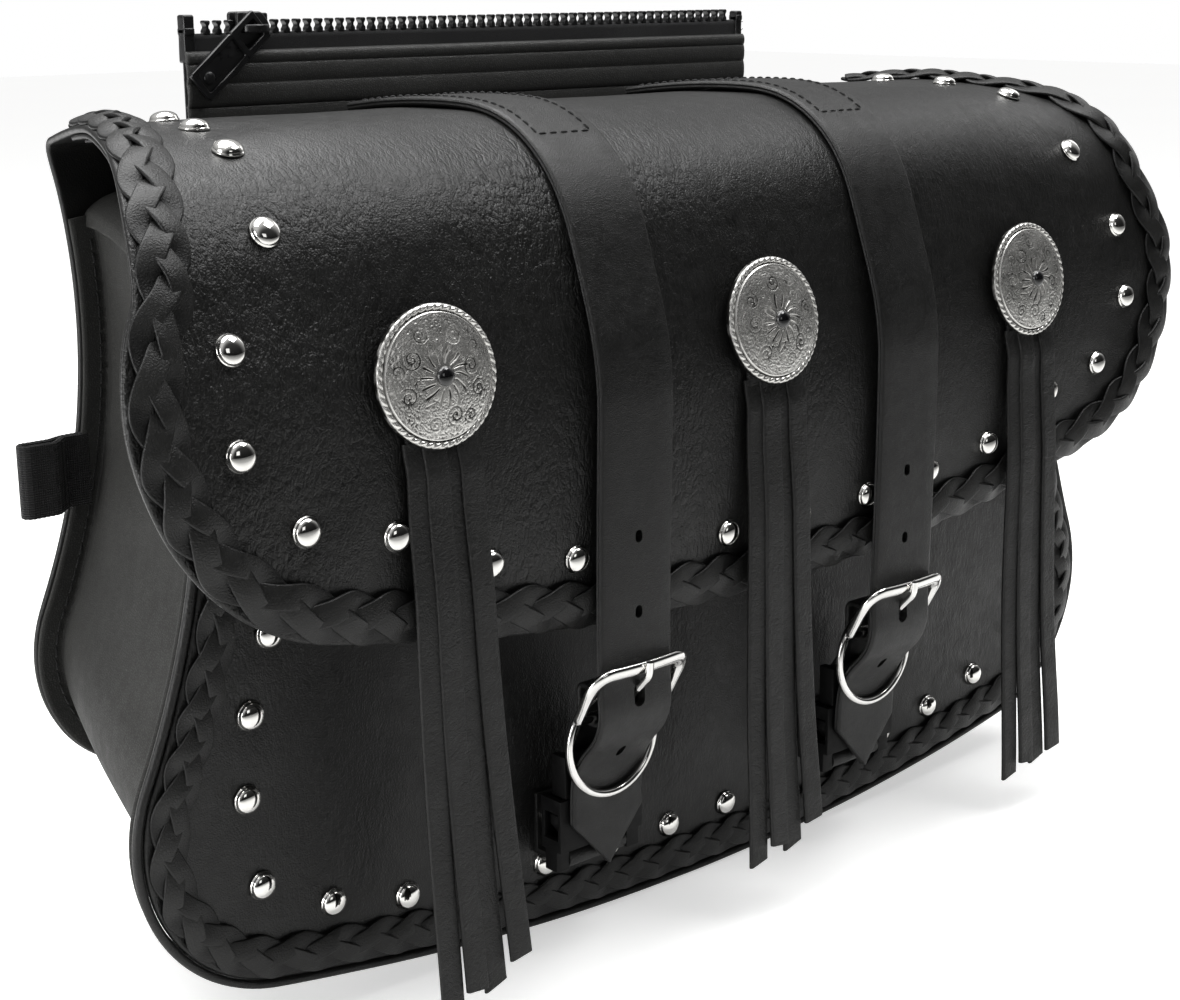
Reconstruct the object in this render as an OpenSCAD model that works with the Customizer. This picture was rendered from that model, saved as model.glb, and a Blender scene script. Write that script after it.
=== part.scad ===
// Motorcycle saddlebag: a throw-over pouch with a hinged lid, two buckled straps and fringed conchos.
// Axes: X along the bag, -Y is the front, +Z is up. The origin is the centre of the back face.

/* [Pouch] */
// Depth from the back face to the front panel's outer face
pouch_depth = 122; // [110:1:130]
// Height of the back panel's top edge above the origin
top_z = 125; // [120:1:128]
// Size of the back outline as a share of the front outline
back_share = 0.88; // [0.84:0.01:0.92]
// Lowest point of the front panel
bottom_z = -141; // [-146:1:-138]
// X of the centre of each lower corner
corner_x = 170; // [166:1:174]
// Z of the centre of each lower corner
corner_z = -72; // [-76:1:-68]
// Radius of the lower corners
corner_r = 53; // [50:1:56]
// Height of the waist, where the sides pull in
waist_z = 60; // [50:1:70]
// Radius of the hollow of the waist
waist_r = 272; // [260:1:300]
// Height of the pouch's open top edge
mouth_z = 108; // [100:1:110]
// How far the panels stand out past the gusset
flange = 11; // [8:1:13]

/* [Lid] */
// Y of the centre of the lid's shoulder bend
shoulder_y = -98; // [-100:1:-96]
// Z of the centre of the lid's shoulder bend
shoulder_z = 86; // [84:1:88]
// Radius of the shoulder bend
shoulder_r = 49; // [47:1:51]
// Radius of the gently crowned top
crest_r = 400; // [350:10:450]
// Angle at which the top runs into the shoulder
crest_lean = 2.1; // [1.5:0.1:3]
// Radius of the lid's bulging front
front_r = 250; // [220:10:300]
// Angle at which the shoulder runs into the front
front_lean = 17.6; // [16:0.1:19]
// Lowest point of the lid's front flap
lid_bottom_z = -29; // [-33:1:-26]
// X of the centre of the flap's rounded ends
lid_corner_x = 160; // [156:1:164]
// Z of the centre of the flap's rounded ends
lid_corner_z = 66; // [62:1:70]
// Radius of the flap's rounded ends
lid_corner_r = 76; // [72:1:80]
// Half-width of the lid at the back fold
lid_back_half = 178; // [174:1:182]
// How much the lid widens for each millimetre forward
lid_flare = 0.206; // [0.18:0.002:0.23]
// How much wider than that the lid is at its shoulder
lid_swell = 19; // [16:1:20]
// Y of the line that the lid hinges on
hinge_y = -25; // [-27:1:-24]
// Clear half-gap of the leather at the hinge line
hinge_gap = 2; // [1.8:0.1:2.5]

/* [Leather and boards] */
// Thickness of the outer leather
leather_t = 2.4; // [2:0.1:2.6]
// Thickness of the stiffening boards
board_t = 1.6; // [1.2:0.1:1.8]
// Thickness of the lining cloth
lining_t = 0.8; // [0.6:0.1:1]
// Width of the lid's laced braid
lid_braid_w = 16; // [14:0.5:17]
// Width of the front panel's laced braid
front_braid_w = 14; // [12:0.5:14]
// Height of the laced braids
braid_t = 3.6; // [3:0.2:3.6]

/* [Studs and conchos] */
// Diameter of a dome stud
stud_d = 9.4; // [8:0.2:9.4]
// Height of a dome stud
stud_h = 3.2; // [2.6:0.1:3.2]
// Spacing of the studs along the front panel
stud_pitch = 29; // [28:0.5:30]
// Spacing of the studs along the lid's lower edge
lid_stud_pitch = 34; // [33.6:0.1:34.4]
// Diameter of a concho
concho_d = 42; // [38:1:44]
// Distance between neighbouring conchos
concho_pitch = 138.5; // [134:0.5:142]
// Height of the conchos
concho_z = 65; // [60:1:68]

/* [Straps and buckles] */
// X of the straps
strap_x = 65; // [62:1:68]
// Width of a strap
strap_w = 31; // [29:0.5:31]
// Thickness of a strap
strap_t = 3; // [2.4:0.1:3]
// Height of the strap's pointed tip
tip_z = -112; // [-114:1:-110]
// Width of the buckle between the middles of its side wires
frame_w = 38.4; // [37.6:0.1:40]
// Radius of the buckle wire
wire_r = 1.8; // [1.6:0.1:1.9]
// Radius of the keeper ring, to the middle of its wire
ring_r = 18.5; // [18.2:0.1:18.8]
// Radius of the keeper ring's wire
ring_wire_r = 1.4; // [1.2:0.1:1.5]

/* [Fringes] */
// Width of one fringe strand
strand_w = 8.5; // [7:0.5:9]
// Thickness of one fringe strand
strand_t = 1.8; // [1.4:0.1:2]
// Height of the longest strand's tip
fringe_tip_z = -130; // [-134:1:-118]

/* [Zip and loops] */
// Width of the tie loops' webbing
webbing_w = 25; // [20:1:26]
// Half-length of the zip strip
zip_half = 131; // [126:1:134]
// Spacing of the zip's teeth
tooth_pitch = 4.5; // [4:0.1:5]
// Height of the top of the zip's teeth
teeth_top_z = 162.6; // [160:0.2:164]

/* [Hidden] */
// Clearance between layers that are sewn or glued together
skin = 0.1;

// Pouch outline: bottom arc, corner arc and waist arc, each tangent to the next.
base_c = (corner_x * corner_x + corner_z * corner_z - pow(bottom_z + corner_r, 2))
       / (2 * (corner_z - bottom_z - corner_r));
base_r = base_c - bottom_z;
waist_x = corner_x + sqrt(pow(corner_r + waist_r, 2) - pow(waist_z - corner_z, 2));
base_turn = atan2(corner_z - base_c, corner_x);
waist_turn = atan2(waist_z - corner_z, waist_x - corner_x);

// Lid outline seen from the front.
lid_base_c = (pow(lid_corner_x, 2) + pow(lid_corner_z, 2) - pow(lid_bottom_z + lid_corner_r, 2))
           / (2 * (lid_corner_z - lid_bottom_z - lid_corner_r));
lid_base_r = lid_base_c - lid_bottom_z;
lid_turn = atan2(lid_corner_z - lid_base_c, lid_corner_x);

// Lid profile seen from the side: crest, shoulder and front arcs, each tangent to the next.
crest_y = shoulder_y + (crest_r - shoulder_r) * sin(crest_lean);
crest_z = shoulder_z - (crest_r - shoulder_r) * cos(crest_lean);
front_y = shoulder_y + (front_r - shoulder_r) * cos(front_lean);
front_z = shoulder_z - (front_r - shoulder_r) * sin(front_lean);
crest_turn = 90 + crest_lean;
front_turn = 180 - front_lean;
fold_r = 6;
fold_z = crest_z + sqrt(pow(crest_r - fold_r, 2) - pow(fold_r + crest_y, 2));
fold_turn = acos((-fold_r - crest_y) / (crest_r - fold_r));
lid_start_y = hinge_y - hinge_gap;
lid_stack = leather_t + board_t + lining_t + 2 * skin;

// Stud rows.
stud_inset = 20;
side_stud_inset = 27;
stud_corner = [corner_x - 12, corner_z - 1];
stud_corner_r = 32;
lid_top_inset = 23.6;
lid_top_studs = [-58, -85.5, -113, -139];
lid_stud_ring_r = 46;
lid_bottom_inset = 24;

// Strap path, as the y of its inner face.
strap_hang_y = -158.3;
strap_bend_z = -56;
strap_tail_z = -71;
strap_tail_y = -143.8;
strap_start_y = -29;
hole_pitch = 25;
prong_hole_z = -48.2;

// Buckle, ring and clip, as [y, z] pairs.
top_bar = [-163.2, -38];
heel_bar = [-153.6, -55];
ring_centre = [-148.6, -67.4];
prong_tip = [-167.6, -38.5];
clip_bar = [-140, -75];
chape_half = 12.5;
clip_y = [-143.4, -136.6];
clip_half = 16;
clip_top_z = -80;
clip_low_z = -86;
socket_y = [-143.4, -133.4];
socket_half = 18.2;
socket_z = [-105, -86.6];
socket_bar = [-138.4, -109.3];
wall = 1.5;
bar_r = 1.5;
arm_x = 10.6;
arm_w = 3.2;
arm_pivot_z = -86.6;
window_z = [-101, -91.5];

// Depth at which the lid's shoulder is widest.
lid_flare_depth = 146;

// Fringe.
fringe_pivot_z = 42;
strand_pitch = 6;

// Zip.
facing_top_z = 152;
tape_y = -9.5;
tape_t = 1;
tooth_h = 4.6;
slider_x = -105;
slider_l = 13;
slider_mid_z = 160;
pull_droop = 40;
pull_y = -14.4;

// ---------------------------------------------------------------- outlines

function reverse(list) = [for (i = [len(list) - 1:-1:0]) list[i]];
function arc(c, r, a0, a1, n) =
    [for (i = [0:n]) let (a = a0 + (a1 - a0) * i / n) [c[0] + r * cos(a), c[1] + r * sin(a)]];
function flip(list) = [for (p = reverse(list)) [-p[0], p[1]]];

// Right half of the pouch outline, moved in by d and cut off at the height top.
function pouch_half(d, top) = concat(
    arc([0, base_c], base_r - d, -90, base_turn, 10),
    arc([corner_x, corner_z], corner_r - d, base_turn + 8, waist_turn, 12),
    arc([waist_x, waist_z], waist_r + d, 180 + waist_turn - 2,
        180 - asin((top - waist_z) / (waist_r + d)), 10));

function pouch_outline(d, top) = concat(pouch_half(d, top), flip(pouch_half(d, top)));

// Right half of the lid outline from the front, moved in by d.
function lid_half_outline(d) = concat(
    arc([0, lid_base_c], lid_base_r - d, -90, lid_turn, 10),
    arc([lid_corner_x, lid_corner_z], lid_corner_r - d, lid_turn + 6, 50, 12),
    [[lid_corner_x + lid_corner_r - 21 - d, 160]]);

// Lid outline from above, moved in by d.
function lid_plan_half(d) = concat(
    [for (k = [0:8]) let (share = k / 8, depth = share * lid_flare_depth)
        [lid_back_half + lid_flare * depth + lid_swell * pow(share, 2.5) - d, -depth]],
    [[lid_corner_x + lid_corner_r + 4, -lid_flare_depth - 4],
     [lid_corner_x + lid_corner_r + 4, -180]]);

// Path of the lid's side profile from y0 at the back to z1 at the bottom, moved in by d.
function lid_profile(d, y0, z1) = concat(
    arc([crest_y, crest_z], crest_r - d, acos((y0 - crest_y) / (crest_r - d)), crest_turn, 6),
    arc([shoulder_y, shoulder_z], shoulder_r - d, crest_turn + 5, front_turn, 14),
    arc([front_y, front_z], front_r - d, front_turn + 2,
        180 - asin((z1 - front_z) / (front_r - d)), 8));

// Places on the lid's outer face, each as [y, z, direction of the normal].
function on_arc(c, r, a) = [c[0] + r * cos(a), c[1] + r * sin(a), a];
function on_lid_front(z) =
    on_arc([front_y, front_z], front_r, 180 - asin((z - front_z) / front_r));
function on_lid_top(y) = y > shoulder_y
    ? on_arc([crest_y, crest_z], crest_r, acos((y - crest_y) / crest_r))
    : on_arc([shoulder_y, shoulder_z], shoulder_r, acos((y - shoulder_y) / shoulder_r));

// Stud places on the right half of the front panel, as [x, z].
front_stud_places = concat(
    [for (z = [-12, -36])
        [waist_x - sqrt(pow(waist_r, 2) - pow(z - waist_z, 2)) - side_stud_inset, z]],
    [for (a = [20, -35, -88])
        [stud_corner[0] + stud_corner_r * cos(a), stud_corner[1] + stud_corner_r * sin(a)]],
    [for (k = [0:4]) let (x = stud_pitch * (k + 0.5))
        [x, base_c - sqrt(pow(base_r - stud_inset, 2) - x * x)]]);

// Stud places on the right half of the lid, as [x, y, z, direction of the normal].
lid_stud_places = concat(
    [for (y = lid_top_studs) let (p = on_lid_top(y))
        [lid_back_half - lid_flare * y - lid_top_inset, p[0], p[1], p[2]]],
    [for (k = [0:3]) let (a = 23 - 40 * k, p = on_lid_front(lid_corner_z + lid_stud_ring_r * sin(a)))
        [lid_corner_x + lid_stud_ring_r * cos(a), p[0], p[1], p[2]]],
    [for (k = [0:3]) let (x = lid_stud_pitch * (k + 0.5) + 0.5,
                          z = lid_base_c - sqrt(pow(lid_base_r - lid_bottom_inset, 2) - x * x),
                          p = on_lid_front(z))
        [x, p[0], p[1], p[2]]]);

// ---------------------------------------------------------------- placing helpers

// Extrudes a front-view drawing back from y1 to y0.
module plate(y0, y1) {
    translate([0, y1, 0]) rotate([90, 0, 0]) translate([0, 0, y1 - y0 > 0 ? 0 : y1 - y0])
        linear_extrude(abs(y1 - y0)) children();
}

// Extrudes a side-view drawing, made as [y, z], along x from x0 to x1.
module along_x(x0, x1) {
    translate([x0, 0, 0]) rotate([90, 0, 90]) linear_extrude(x1 - x0) children();
}

module both_sides() {
    children();
    mirror([1, 0, 0]) children();
}

// Turns local +Z to the surface normal whose direction is a.
module stand_on(x, y, z, a) {
    translate([x, y, z]) rotate([a - 90, 0, 0]) children();
}

module at_lid_studs() {
    for (side = [-1, 1], p = lid_stud_places) stand_on(side * p[0], p[1], p[2], p[3]) children();
}

module at_front_studs() {
    for (side = [-1, 1], p = front_stud_places)
        stand_on(side * p[0], -pouch_depth, p[1], 180) children();
}

module at_conchos() {
    p = on_lid_front(concho_z);
    for (k = [-1:1]) stand_on(k * concho_pitch, p[0], p[1], p[2]) children();
}

// A cylinder along x, centred on x = 0, with its axis through the side-view point p.
module bar_x(p, r, half) {
    translate([-half, p[0], p[1]]) rotate([0, 90, 0]) cylinder(h = 2 * half, r = r, $fn = 32);
}

module box(x, y, z) {
    translate([x[0], y[0], z[0]]) cube([x[1] - x[0], y[1] - y[0], z[1] - z[0]]);
}

// ---------------------------------------------------------------- pouch

module back_panel() {
    color("#242424") {
        translate([0, 0, top_z]) plate(-leather_t, 0)
            scale(back_share) translate([0, -top_z]) polygon(pouch_outline(0, top_z - 8));
        along_x(-lid_back_half, lid_back_half) polygon(back_fold_shape());
    }
}

// The leather turns forward over the top and ends at the hinge line.
function back_fold_path(d) = concat(
    [[-d, top_z - 15]],
    arc([-fold_r, fold_z], fold_r - d, 0, fold_turn, 6),
    arc([crest_y, crest_z], crest_r - d, fold_turn + 0.8,
        acos((hinge_y + hinge_gap - crest_y) / (crest_r - d)), 3));
function back_fold_shape() = concat(back_fold_path(0), reverse(back_fold_path(leather_t)));

module back_board() {
    color("#8a7a5c") translate([0, 0, top_z]) plate(-leather_t - skin - board_t, -leather_t - skin)
        scale(back_share) translate([0, -top_z]) polygon(pouch_outline(flange + 6, mouth_z - 8));
}

module back_lining() {
    y = -leather_t - board_t - 2 * skin;
    color("#1c1c1e") translate([0, 0, top_z]) plate(y - lining_t, y)
        scale(back_share) translate([0, -top_z]) polygon(pouch_outline(flange + 6, mouth_z - 8));
}

// A band between two insets of the outline, narrowing evenly from the front panel to the back.
module tapered_band(d0, d1) {
    front = -pouch_depth + leather_t + skin;
    back = -leather_t - skin;
    translate([0, front, top_z]) rotate([90, 0, 0]) mirror([0, 0, 1])
        linear_extrude(back - front, scale = back_share) translate([0, -top_z]) difference() {
            polygon(pouch_outline(d0, mouth_z));
            polygon(pouch_outline(d1, mouth_z + 6));
        }
}

module ring_plate(y0, y1, d0, d1, share) {
    translate([0, 0, top_z]) plate(y0, y1) scale(share) translate([0, -top_z]) difference() {
        polygon(pouch_outline(d0, mouth_z));
        polygon(pouch_outline(d1, mouth_z + 6));
    }
}

module gusset() {
    front = -pouch_depth + leather_t + skin;
    back = -leather_t - skin;
    color("#262626") {
        tapered_band(flange, flange + leather_t);
        ring_plate(back - 2, back, 2, flange + 1, back_share);
        ring_plate(front, front + 2, 1, flange + 1, 1);
    }
}

module base_board() {
    color("#8a7a5c") intersection() {
        tapered_band(flange + leather_t + 0.4, flange + leather_t + 0.4 + board_t);
        box([-140, 140], [-pouch_depth + 10, -12], [bottom_z, bottom_z + 60]);
    }
}

module front_panel() {
    color("#262626") difference() {
        plate(-pouch_depth, -pouch_depth + leather_t) polygon(pouch_outline(0, mouth_z));
        at_front_studs() cylinder(h = 20, r = 1.3, center = true, $fn = 24);
        at_tab_rivets() cylinder(h = 20, r = 1.6, center = true, $fn = 24);
    }
}

module front_board() {
    y = -pouch_depth + leather_t + skin;
    color("#8a7a5c") plate(y, y + board_t) polygon(pouch_outline(flange + 5, mouth_z - 4));
}

module front_lining() {
    y = -pouch_depth + leather_t + board_t + 2 * skin;
    color("#1c1c1e") plate(y, y + lining_t) polygon(pouch_outline(flange + 5, mouth_z - 4));
}

module front_piping() {
    color("#1f1f1f") plate(-pouch_depth - 0.5, -pouch_depth + leather_t + 2) difference() {
        polygon(pouch_outline(-3.2, mouth_z - 30));
        polygon(pouch_outline(-skin, mouth_z));
    }
}

module front_braid() {
    color("#2b2b2b") plate(-pouch_depth - braid_t, -pouch_depth - skin / 2) difference() {
        polygon(pouch_outline(0.5, mouth_z - 30));
        polygon(pouch_outline(0.5 + front_braid_w, mouth_z));
    }
}

module dome_stud() {
    rim = stud_d / 2;
    rotate_extrude($fn = 32) polygon(concat(
        [[0, -leather_t + 0.2], [1.2, -leather_t + 0.2], [1.2, skin], [rim, skin], [rim, 0.7]],
        [for (k = [1:6]) let (a = 15 * k) [rim * cos(a), 0.7 + (stud_h - 0.7) * sin(a)]]));
}

module front_studs() {
    color("silver") at_front_studs() dome_stud();
}

// Folded webbing loops at the back's edges, for the tie-down straps.
module tie_loops() {
    y = -leather_t - 2 * skin - 2;
    gap = 4;
    t = 1.3;
    inner = 172;
    outer = 196;
    color("#101010") both_sides() translate([0, 0, 4]) linear_extrude(webbing_w) difference() {
        union() {
            translate([inner, y - gap - 2 * t]) square([outer - inner, gap + 2 * t]);
            translate([outer, y - gap / 2 - t]) circle(gap / 2 + t, $fn = 32);
        }
        translate([inner + 6, y - gap - t]) square([outer - inner - 6, gap]);
        translate([outer, y - gap / 2 - t]) circle(gap / 2, $fn = 32);
    }
}

// ---------------------------------------------------------------- zip

tape_base_z = 128.6;
facing_t = 1.9;
tape_top_z = teeth_top_z - tooth_h - skin;

module zip_facing() {
    color("#222222") box([-zip_half, zip_half],
        [tape_y - tape_t / 2 - skin - facing_t, tape_y - tape_t / 2 - skin], [tape_base_z, facing_top_z]);
}

module zip_tape() {
    color("#141414") box([-zip_half, zip_half],
        [tape_y - tape_t / 2, tape_y + tape_t / 2], [tape_base_z, tape_top_z]);
}

module zip_teeth() {
    tooth = [2.5, 3, tooth_h];
    count = floor((2 * zip_half - 12) / tooth_pitch);
    color("#0e0e0e") for (k = [0:count - 1])
        translate([(k - (count - 1) / 2) * tooth_pitch, tape_y, teeth_top_z - tooth_h / 2])
            cube(tooth, center = true);
}

module zip_end(x) {
    color("#0e0e0e") translate([x, 0, 0])
        box([-2, 2], [tape_y - 2.5, tape_y + 2.5], [tape_top_z + skin, teeth_top_z + 2]);
}

module zip_box() {
    zip_end(-zip_half + 2);
}

module zip_stop() {
    zip_end(zip_half - 2);
}

module zip_slider() {
    bail_hole = 3;
    half = slider_l / 2;
    color("#0e0e0e") translate([slider_x, 0, slider_mid_z]) difference() {
        union() {
            box([-half, half], [-13, tape_y + 3.5], [-6, 5.5]);
            box([-bail_hole - 1.2, bail_hole + 1.2], [-17, -12.5], [-1.2, 1.2]);
        }
        box([-half - 1, half + 1], [tape_y - 1.9, tape_y + 1.9], [-2.6, 3.2]);
        box([-half - 1, half + 1], [tape_y - 0.9, tape_y + 0.9], [-7, 0]);
        box([-bail_hole, bail_hole], [-15.7, -13], [-2, 2]);
    }
}

module zip_pull() {
    rail_in = 4.1;
    rail_out = 5.6;
    length = 30;
    t = 1.6;
    color("#101010") translate([slider_x, pull_y, slider_mid_z]) rotate([0, -pull_droop, 0]) {
        cylinder(h = 2 * rail_in + 1, r = 0.8, center = true, $fn = 24);
        difference() {
            box([-length, 0.8], [-t / 2, t / 2], [-rail_out, rail_out]);
            box([-7.5, 2], [-t, t], [-rail_in, rail_in]);
            box([-length + 3.5, -10.5], [-t, t], [-2.6, 2.6]);
        }
    }
}

// ---------------------------------------------------------------- lid

module lid_prisms(d) {
    intersection() {
        plate(-200, 10) polygon(concat(lid_half_outline(d), flip(lid_half_outline(d))));
        translate([0, 0, -60]) linear_extrude(230)
            polygon(concat(lid_plan_half(d), flip(lid_plan_half(d))));
    }
}

// One layer of the lid between the depths d0 and d1, kept inside the outline by inset.
module lid_layer(d0, d1, y0, inset) {
    intersection() {
        along_x(-250, 250)
            polygon(concat(lid_profile(d0, y0, -45), reverse(lid_profile(d1, y0, -45))));
        lid_prisms(inset);
    }
}

module lid_leather() {
    color("#282828") difference() {
        lid_layer(0, leather_t, lid_start_y, 0);
        at_lid_studs() cylinder(h = 12, r = 1.3, center = true, $fn = 24);
        at_conchos() cylinder(h = 30, r = 2.2, center = true, $fn = 24);
    }
}

module lid_board() {
    d = leather_t + skin;
    color("#8a7a5c") difference() {
        lid_layer(d, d + board_t, lid_start_y - 12, 9);
        at_conchos() cylinder(h = 30, r = 2.2, center = true, $fn = 24);
    }
}

module lid_lining() {
    d = leather_t + board_t + 2 * skin;
    color("#1c1c1e") difference() {
        lid_layer(d, d + lining_t, lid_start_y - 10, 5);
        at_conchos() cylinder(h = 30, r = 2.2, center = true, $fn = 24);
    }
}

module lid_braid() {
    color("#2b2b2b") difference() {
        lid_layer(-braid_t, -skin / 2, lid_start_y - 1, 0.5);
        lid_prisms(0.5 + lid_braid_w);
    }
}

module lid_studs() {
    color("silver") at_lid_studs() dome_stud();
}

// ---------------------------------------------------------------- straps and buckles

// Side-view path of a strap's face, t outside the strap's inner face.
function strap_path(t) = concat(
    arc([crest_y, crest_z], crest_r + skin + t,
        acos((strap_start_y - crest_y) / (crest_r + skin + t)), crest_turn, 6),
    arc([shoulder_y, shoulder_z], shoulder_r + skin + t, crest_turn + 5, front_turn, 14),
    [[strap_hang_y - t, shoulder_z + (shoulder_r + skin) * sin(front_turn)
        - (shoulder_y + (shoulder_r + skin) * cos(front_turn) - strap_hang_y) / tan(front_lean)],
     [strap_hang_y - t, strap_bend_z],
     [strap_tail_y - t, strap_tail_z],
     [strap_tail_y - t, tip_z - 2]]);

module strap_outline() {
    half = strap_w / 2;
    polygon([[-half, 170], [-half, tip_z + 17], [0, tip_z], [half, tip_z + 17], [half, 170]]);
}

module slot_y(z, w, h) {
    plate(-lid_flare_depth - 29, -lid_flare_depth + 8) translate([0, z]) {
        square([w, h - w], center = true);
        for (s = [-1, 1]) translate([0, s * (h - w) / 2]) circle(w / 2, $fn = 24);
    }
}

module strap() {
    color("#242424") difference() {
        intersection() {
            along_x(-strap_w / 2, strap_w / 2)
                polygon(concat(strap_path(0), reverse(strap_path(strap_t))));
            plate(-200, 10) strap_outline();
        }
        slot_y(prong_hole_z, 4.6, 11);
        for (k = [-1, 1, 2]) slot_y(prong_hole_z + 3 + k * hole_pitch, 3.4, 5.4);
    }
}

// A straight wire from p to q, both [x, y, z].
module wire(p, q, r) {
    v = q - p;
    translate(p) rotate([0, acos(v[2] / norm(v)), atan2(v[1], v[0])])
        cylinder(h = norm(v), r = r, $fn = 32);
}

// The buckle lies in a plane that leans from the heel bar forward to the top bar.
module buckle_frame() {
    rise = norm(top_bar - heel_bar);
    lean = atan2(heel_bar[0] - top_bar[0], top_bar[1] - heel_bar[1]);
    half = frame_w / 2;
    bend = 5;
    color("silver") translate([0, heel_bar[0], heel_bar[1]]) rotate([90 + lean, 0, 0]) {
        bar_flat([-half, 0, 0], [half, 0, 0]);
        bar_flat([-half + bend, rise, 0], [half - bend, rise, 0]);
        for (s = [-1, 1]) {
            bar_flat([s * half, 0, 0], [s * half, rise - bend, 0]);
            translate([s * (half - bend), rise - bend, 0]) rotate([0, 0, s > 0 ? 0 : 90])
                rotate_extrude(angle = 90, $fn = 48) translate([bend, 0]) circle(wire_r, $fn = 32);
            translate([s * half, 0, 0]) sphere(wire_r, $fn = 32);
        }
    }
}

module bar_flat(p, q) {
    wire(p, q, wire_r);
}

module prong() {
    prong_r = 1.5;
    eye_in = wire_r + 0.2;
    eye_out = 3.9;
    v = prong_tip - heel_bar;
    start = heel_bar + v * 3 / norm(v);
    color("silver") difference() {
        union() {
            bar_x(heel_bar, eye_out, 2);
            wire([0, start[0], start[1]], [0, prong_tip[0], prong_tip[1]], prong_r);
        }
        bar_x(heel_bar, eye_in, 5);
    }
}

module keeper_ring() {
    color("silver") translate([0, ring_centre[0], ring_centre[1]]) rotate([90, 0, 0])
        rotate_extrude($fn = 96) translate([ring_r, 0]) circle(ring_wire_r, $fn = 32);
}

// Leather loop that holds the heel bar and the ring, and folds round the clip's bar below.
module chape() {
    t = 2;
    r = wire_r + 0.2;
    back_y = ring_centre[0] + ring_wire_r + 0.3;
    top = ring_centre[1] + ring_r + ring_wire_r + 0.4;
    eye_r = 3.4;
    color("#202020") difference() {
        union() {
            along_x(-chape_half, chape_half) difference() {
                loop_shape(r + t, back_y + t, top + t);
                loop_shape(r, back_y, top);
            }
            along_x(-chape_half, chape_half) polygon([
                [back_y + 0.4, heel_bar[1] + 3], [back_y + 0.4, heel_bar[1] - r - 1],
                [clip_bar[0] - eye_r + 0.2, clip_bar[1] + 8],
                [clip_bar[0] - eye_r + 0.2, clip_bar[1] + 0.5],
                [clip_bar[0] + 1, clip_bar[1] + 0.5], [clip_bar[0] + 1, clip_bar[1] + 14]]);
            bar_x(clip_bar, eye_r, chape_half);
        }
        box([-3.3, 3.3], [-165, heel_bar[0] + 4.4], [-64, -40]);
        bar_x(clip_bar, bar_r + 0.2, chape_half + 1);
    }
}

// Side view of the loop: round the heel bar at the lower front, square at the back.
module loop_shape(r, back_y, top) {
    low = heel_bar[1] - r;
    translate(heel_bar) circle(r, $fn = 48);
    polygon([
        [heel_bar[0] - r, heel_bar[1]], [heel_bar[0] - r, top - 2], [heel_bar[0] - r + 2, top],
        [back_y - 1, top], [back_y, top - 1], [back_y, low + 1], [back_y - 1, low],
        [heel_bar[0], low], heel_bar]);
}

// ---------------------------------------------------------------- side-release clip

module clip() {
    color("#0c0c0c") {
        bar_x(clip_bar, bar_r, clip_half - 0.5);
        both_sides() box([chape_half + 0.4, clip_half], clip_y, [clip_top_z - 0.5, clip_bar[1] + 3.4]);
        box([-clip_half, clip_half], clip_y, [clip_low_z, clip_top_z]);
        box([-2.6, 2.6], [clip_y[0] + 2, clip_y[1] - 1], [socket_z[0] + 5, clip_low_z + 0.5]);
    }
}

// The right-hand arm of a clip; it bends in about its root to let go.
module clip_arm() {
    y0 = socket_y[0] + wall + 0.4;
    y1 = clip_y[1] - 0.2;
    root = clip_low_z - 0.2;
    tip = window_z[0] + 1;
    color("#0c0c0c") translate([0, y1, 0]) rotate([90, 0, 0]) linear_extrude(y1 - y0) polygon([
        [arm_x - arm_w / 2, root], [arm_x - arm_w / 2, tip - 2], [arm_x, tip - 2],
        [socket_half - 4, tip], [socket_half - 1, tip + 4], [socket_half - 1, window_z[1] - 1],
        [socket_half - 4, window_z[1] - 1], [arm_x + arm_w / 2, window_z[1]],
        [arm_x + arm_w / 2, root]]);
}

module socket() {
    inner = socket_half - 2;
    color("#0c0c0c") difference() {
        union() {
            box([-socket_half, socket_half], socket_y, socket_z);
            bar_x(socket_bar, bar_r, socket_half - 0.5);
            both_sides() box([chape_half + 0.4, socket_half], [socket_bar[0] - 3, socket_bar[0] + 3],
                [socket_bar[1] - 3, socket_z[0] + 0.5]);
        }
        box([-inner, inner], [socket_y[0] + wall, socket_y[1] - wall],
            [socket_z[0] + 2, socket_z[1] + 1]);
        both_sides() box([inner - 1, socket_half + 1], [socket_y[0] + wall, socket_y[1] - wall],
            window_z);
    }
}

tab_y = [-pouch_depth - 2.3, -pouch_depth - skin];
tab_z = [-109, -91];

module at_tab_rivets() {
    for (s = [-1, 1], dx = [-8, 8]) stand_on(s * strap_x + dx, -pouch_depth, -99, 180) children();
}

// Leather tabs that anchor the sockets to the pouch.
module socket_tabs() {
    eye_r = 3.4;
    color("#202020") difference() {
        for (s = [-1, 1]) translate([s * strap_x, 0, 0]) difference() {
            union() {
                box([-chape_half, chape_half], tab_y, tab_z);
                box([-chape_half, chape_half], [socket_bar[0], tab_y[1]],
                    [socket_bar[1] - eye_r, socket_bar[1] - eye_r + 2]);
                box([-chape_half, chape_half], tab_y, [socket_bar[1] - eye_r, tab_z[0] + 1]);
                bar_x(socket_bar, eye_r, chape_half);
            }
            bar_x(socket_bar, bar_r + 0.2, chape_half + 1);
        }
        at_tab_rivets() cylinder(h = 20, r = 1.6, center = true, $fn = 24);
    }
}

module tab_rivets() {
    color("silver") at_tab_rivets() {
        translate([0, 0, -leather_t + 0.1]) cylinder(h = leather_t + 3, r = 1.4, $fn = 24);
        translate([0, 0, 2.4]) cylinder(h = 1.2, r = 3.4, $fn = 32);
    }
}

// ---------------------------------------------------------------- conchos and fringes

head_t = 2;

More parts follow.
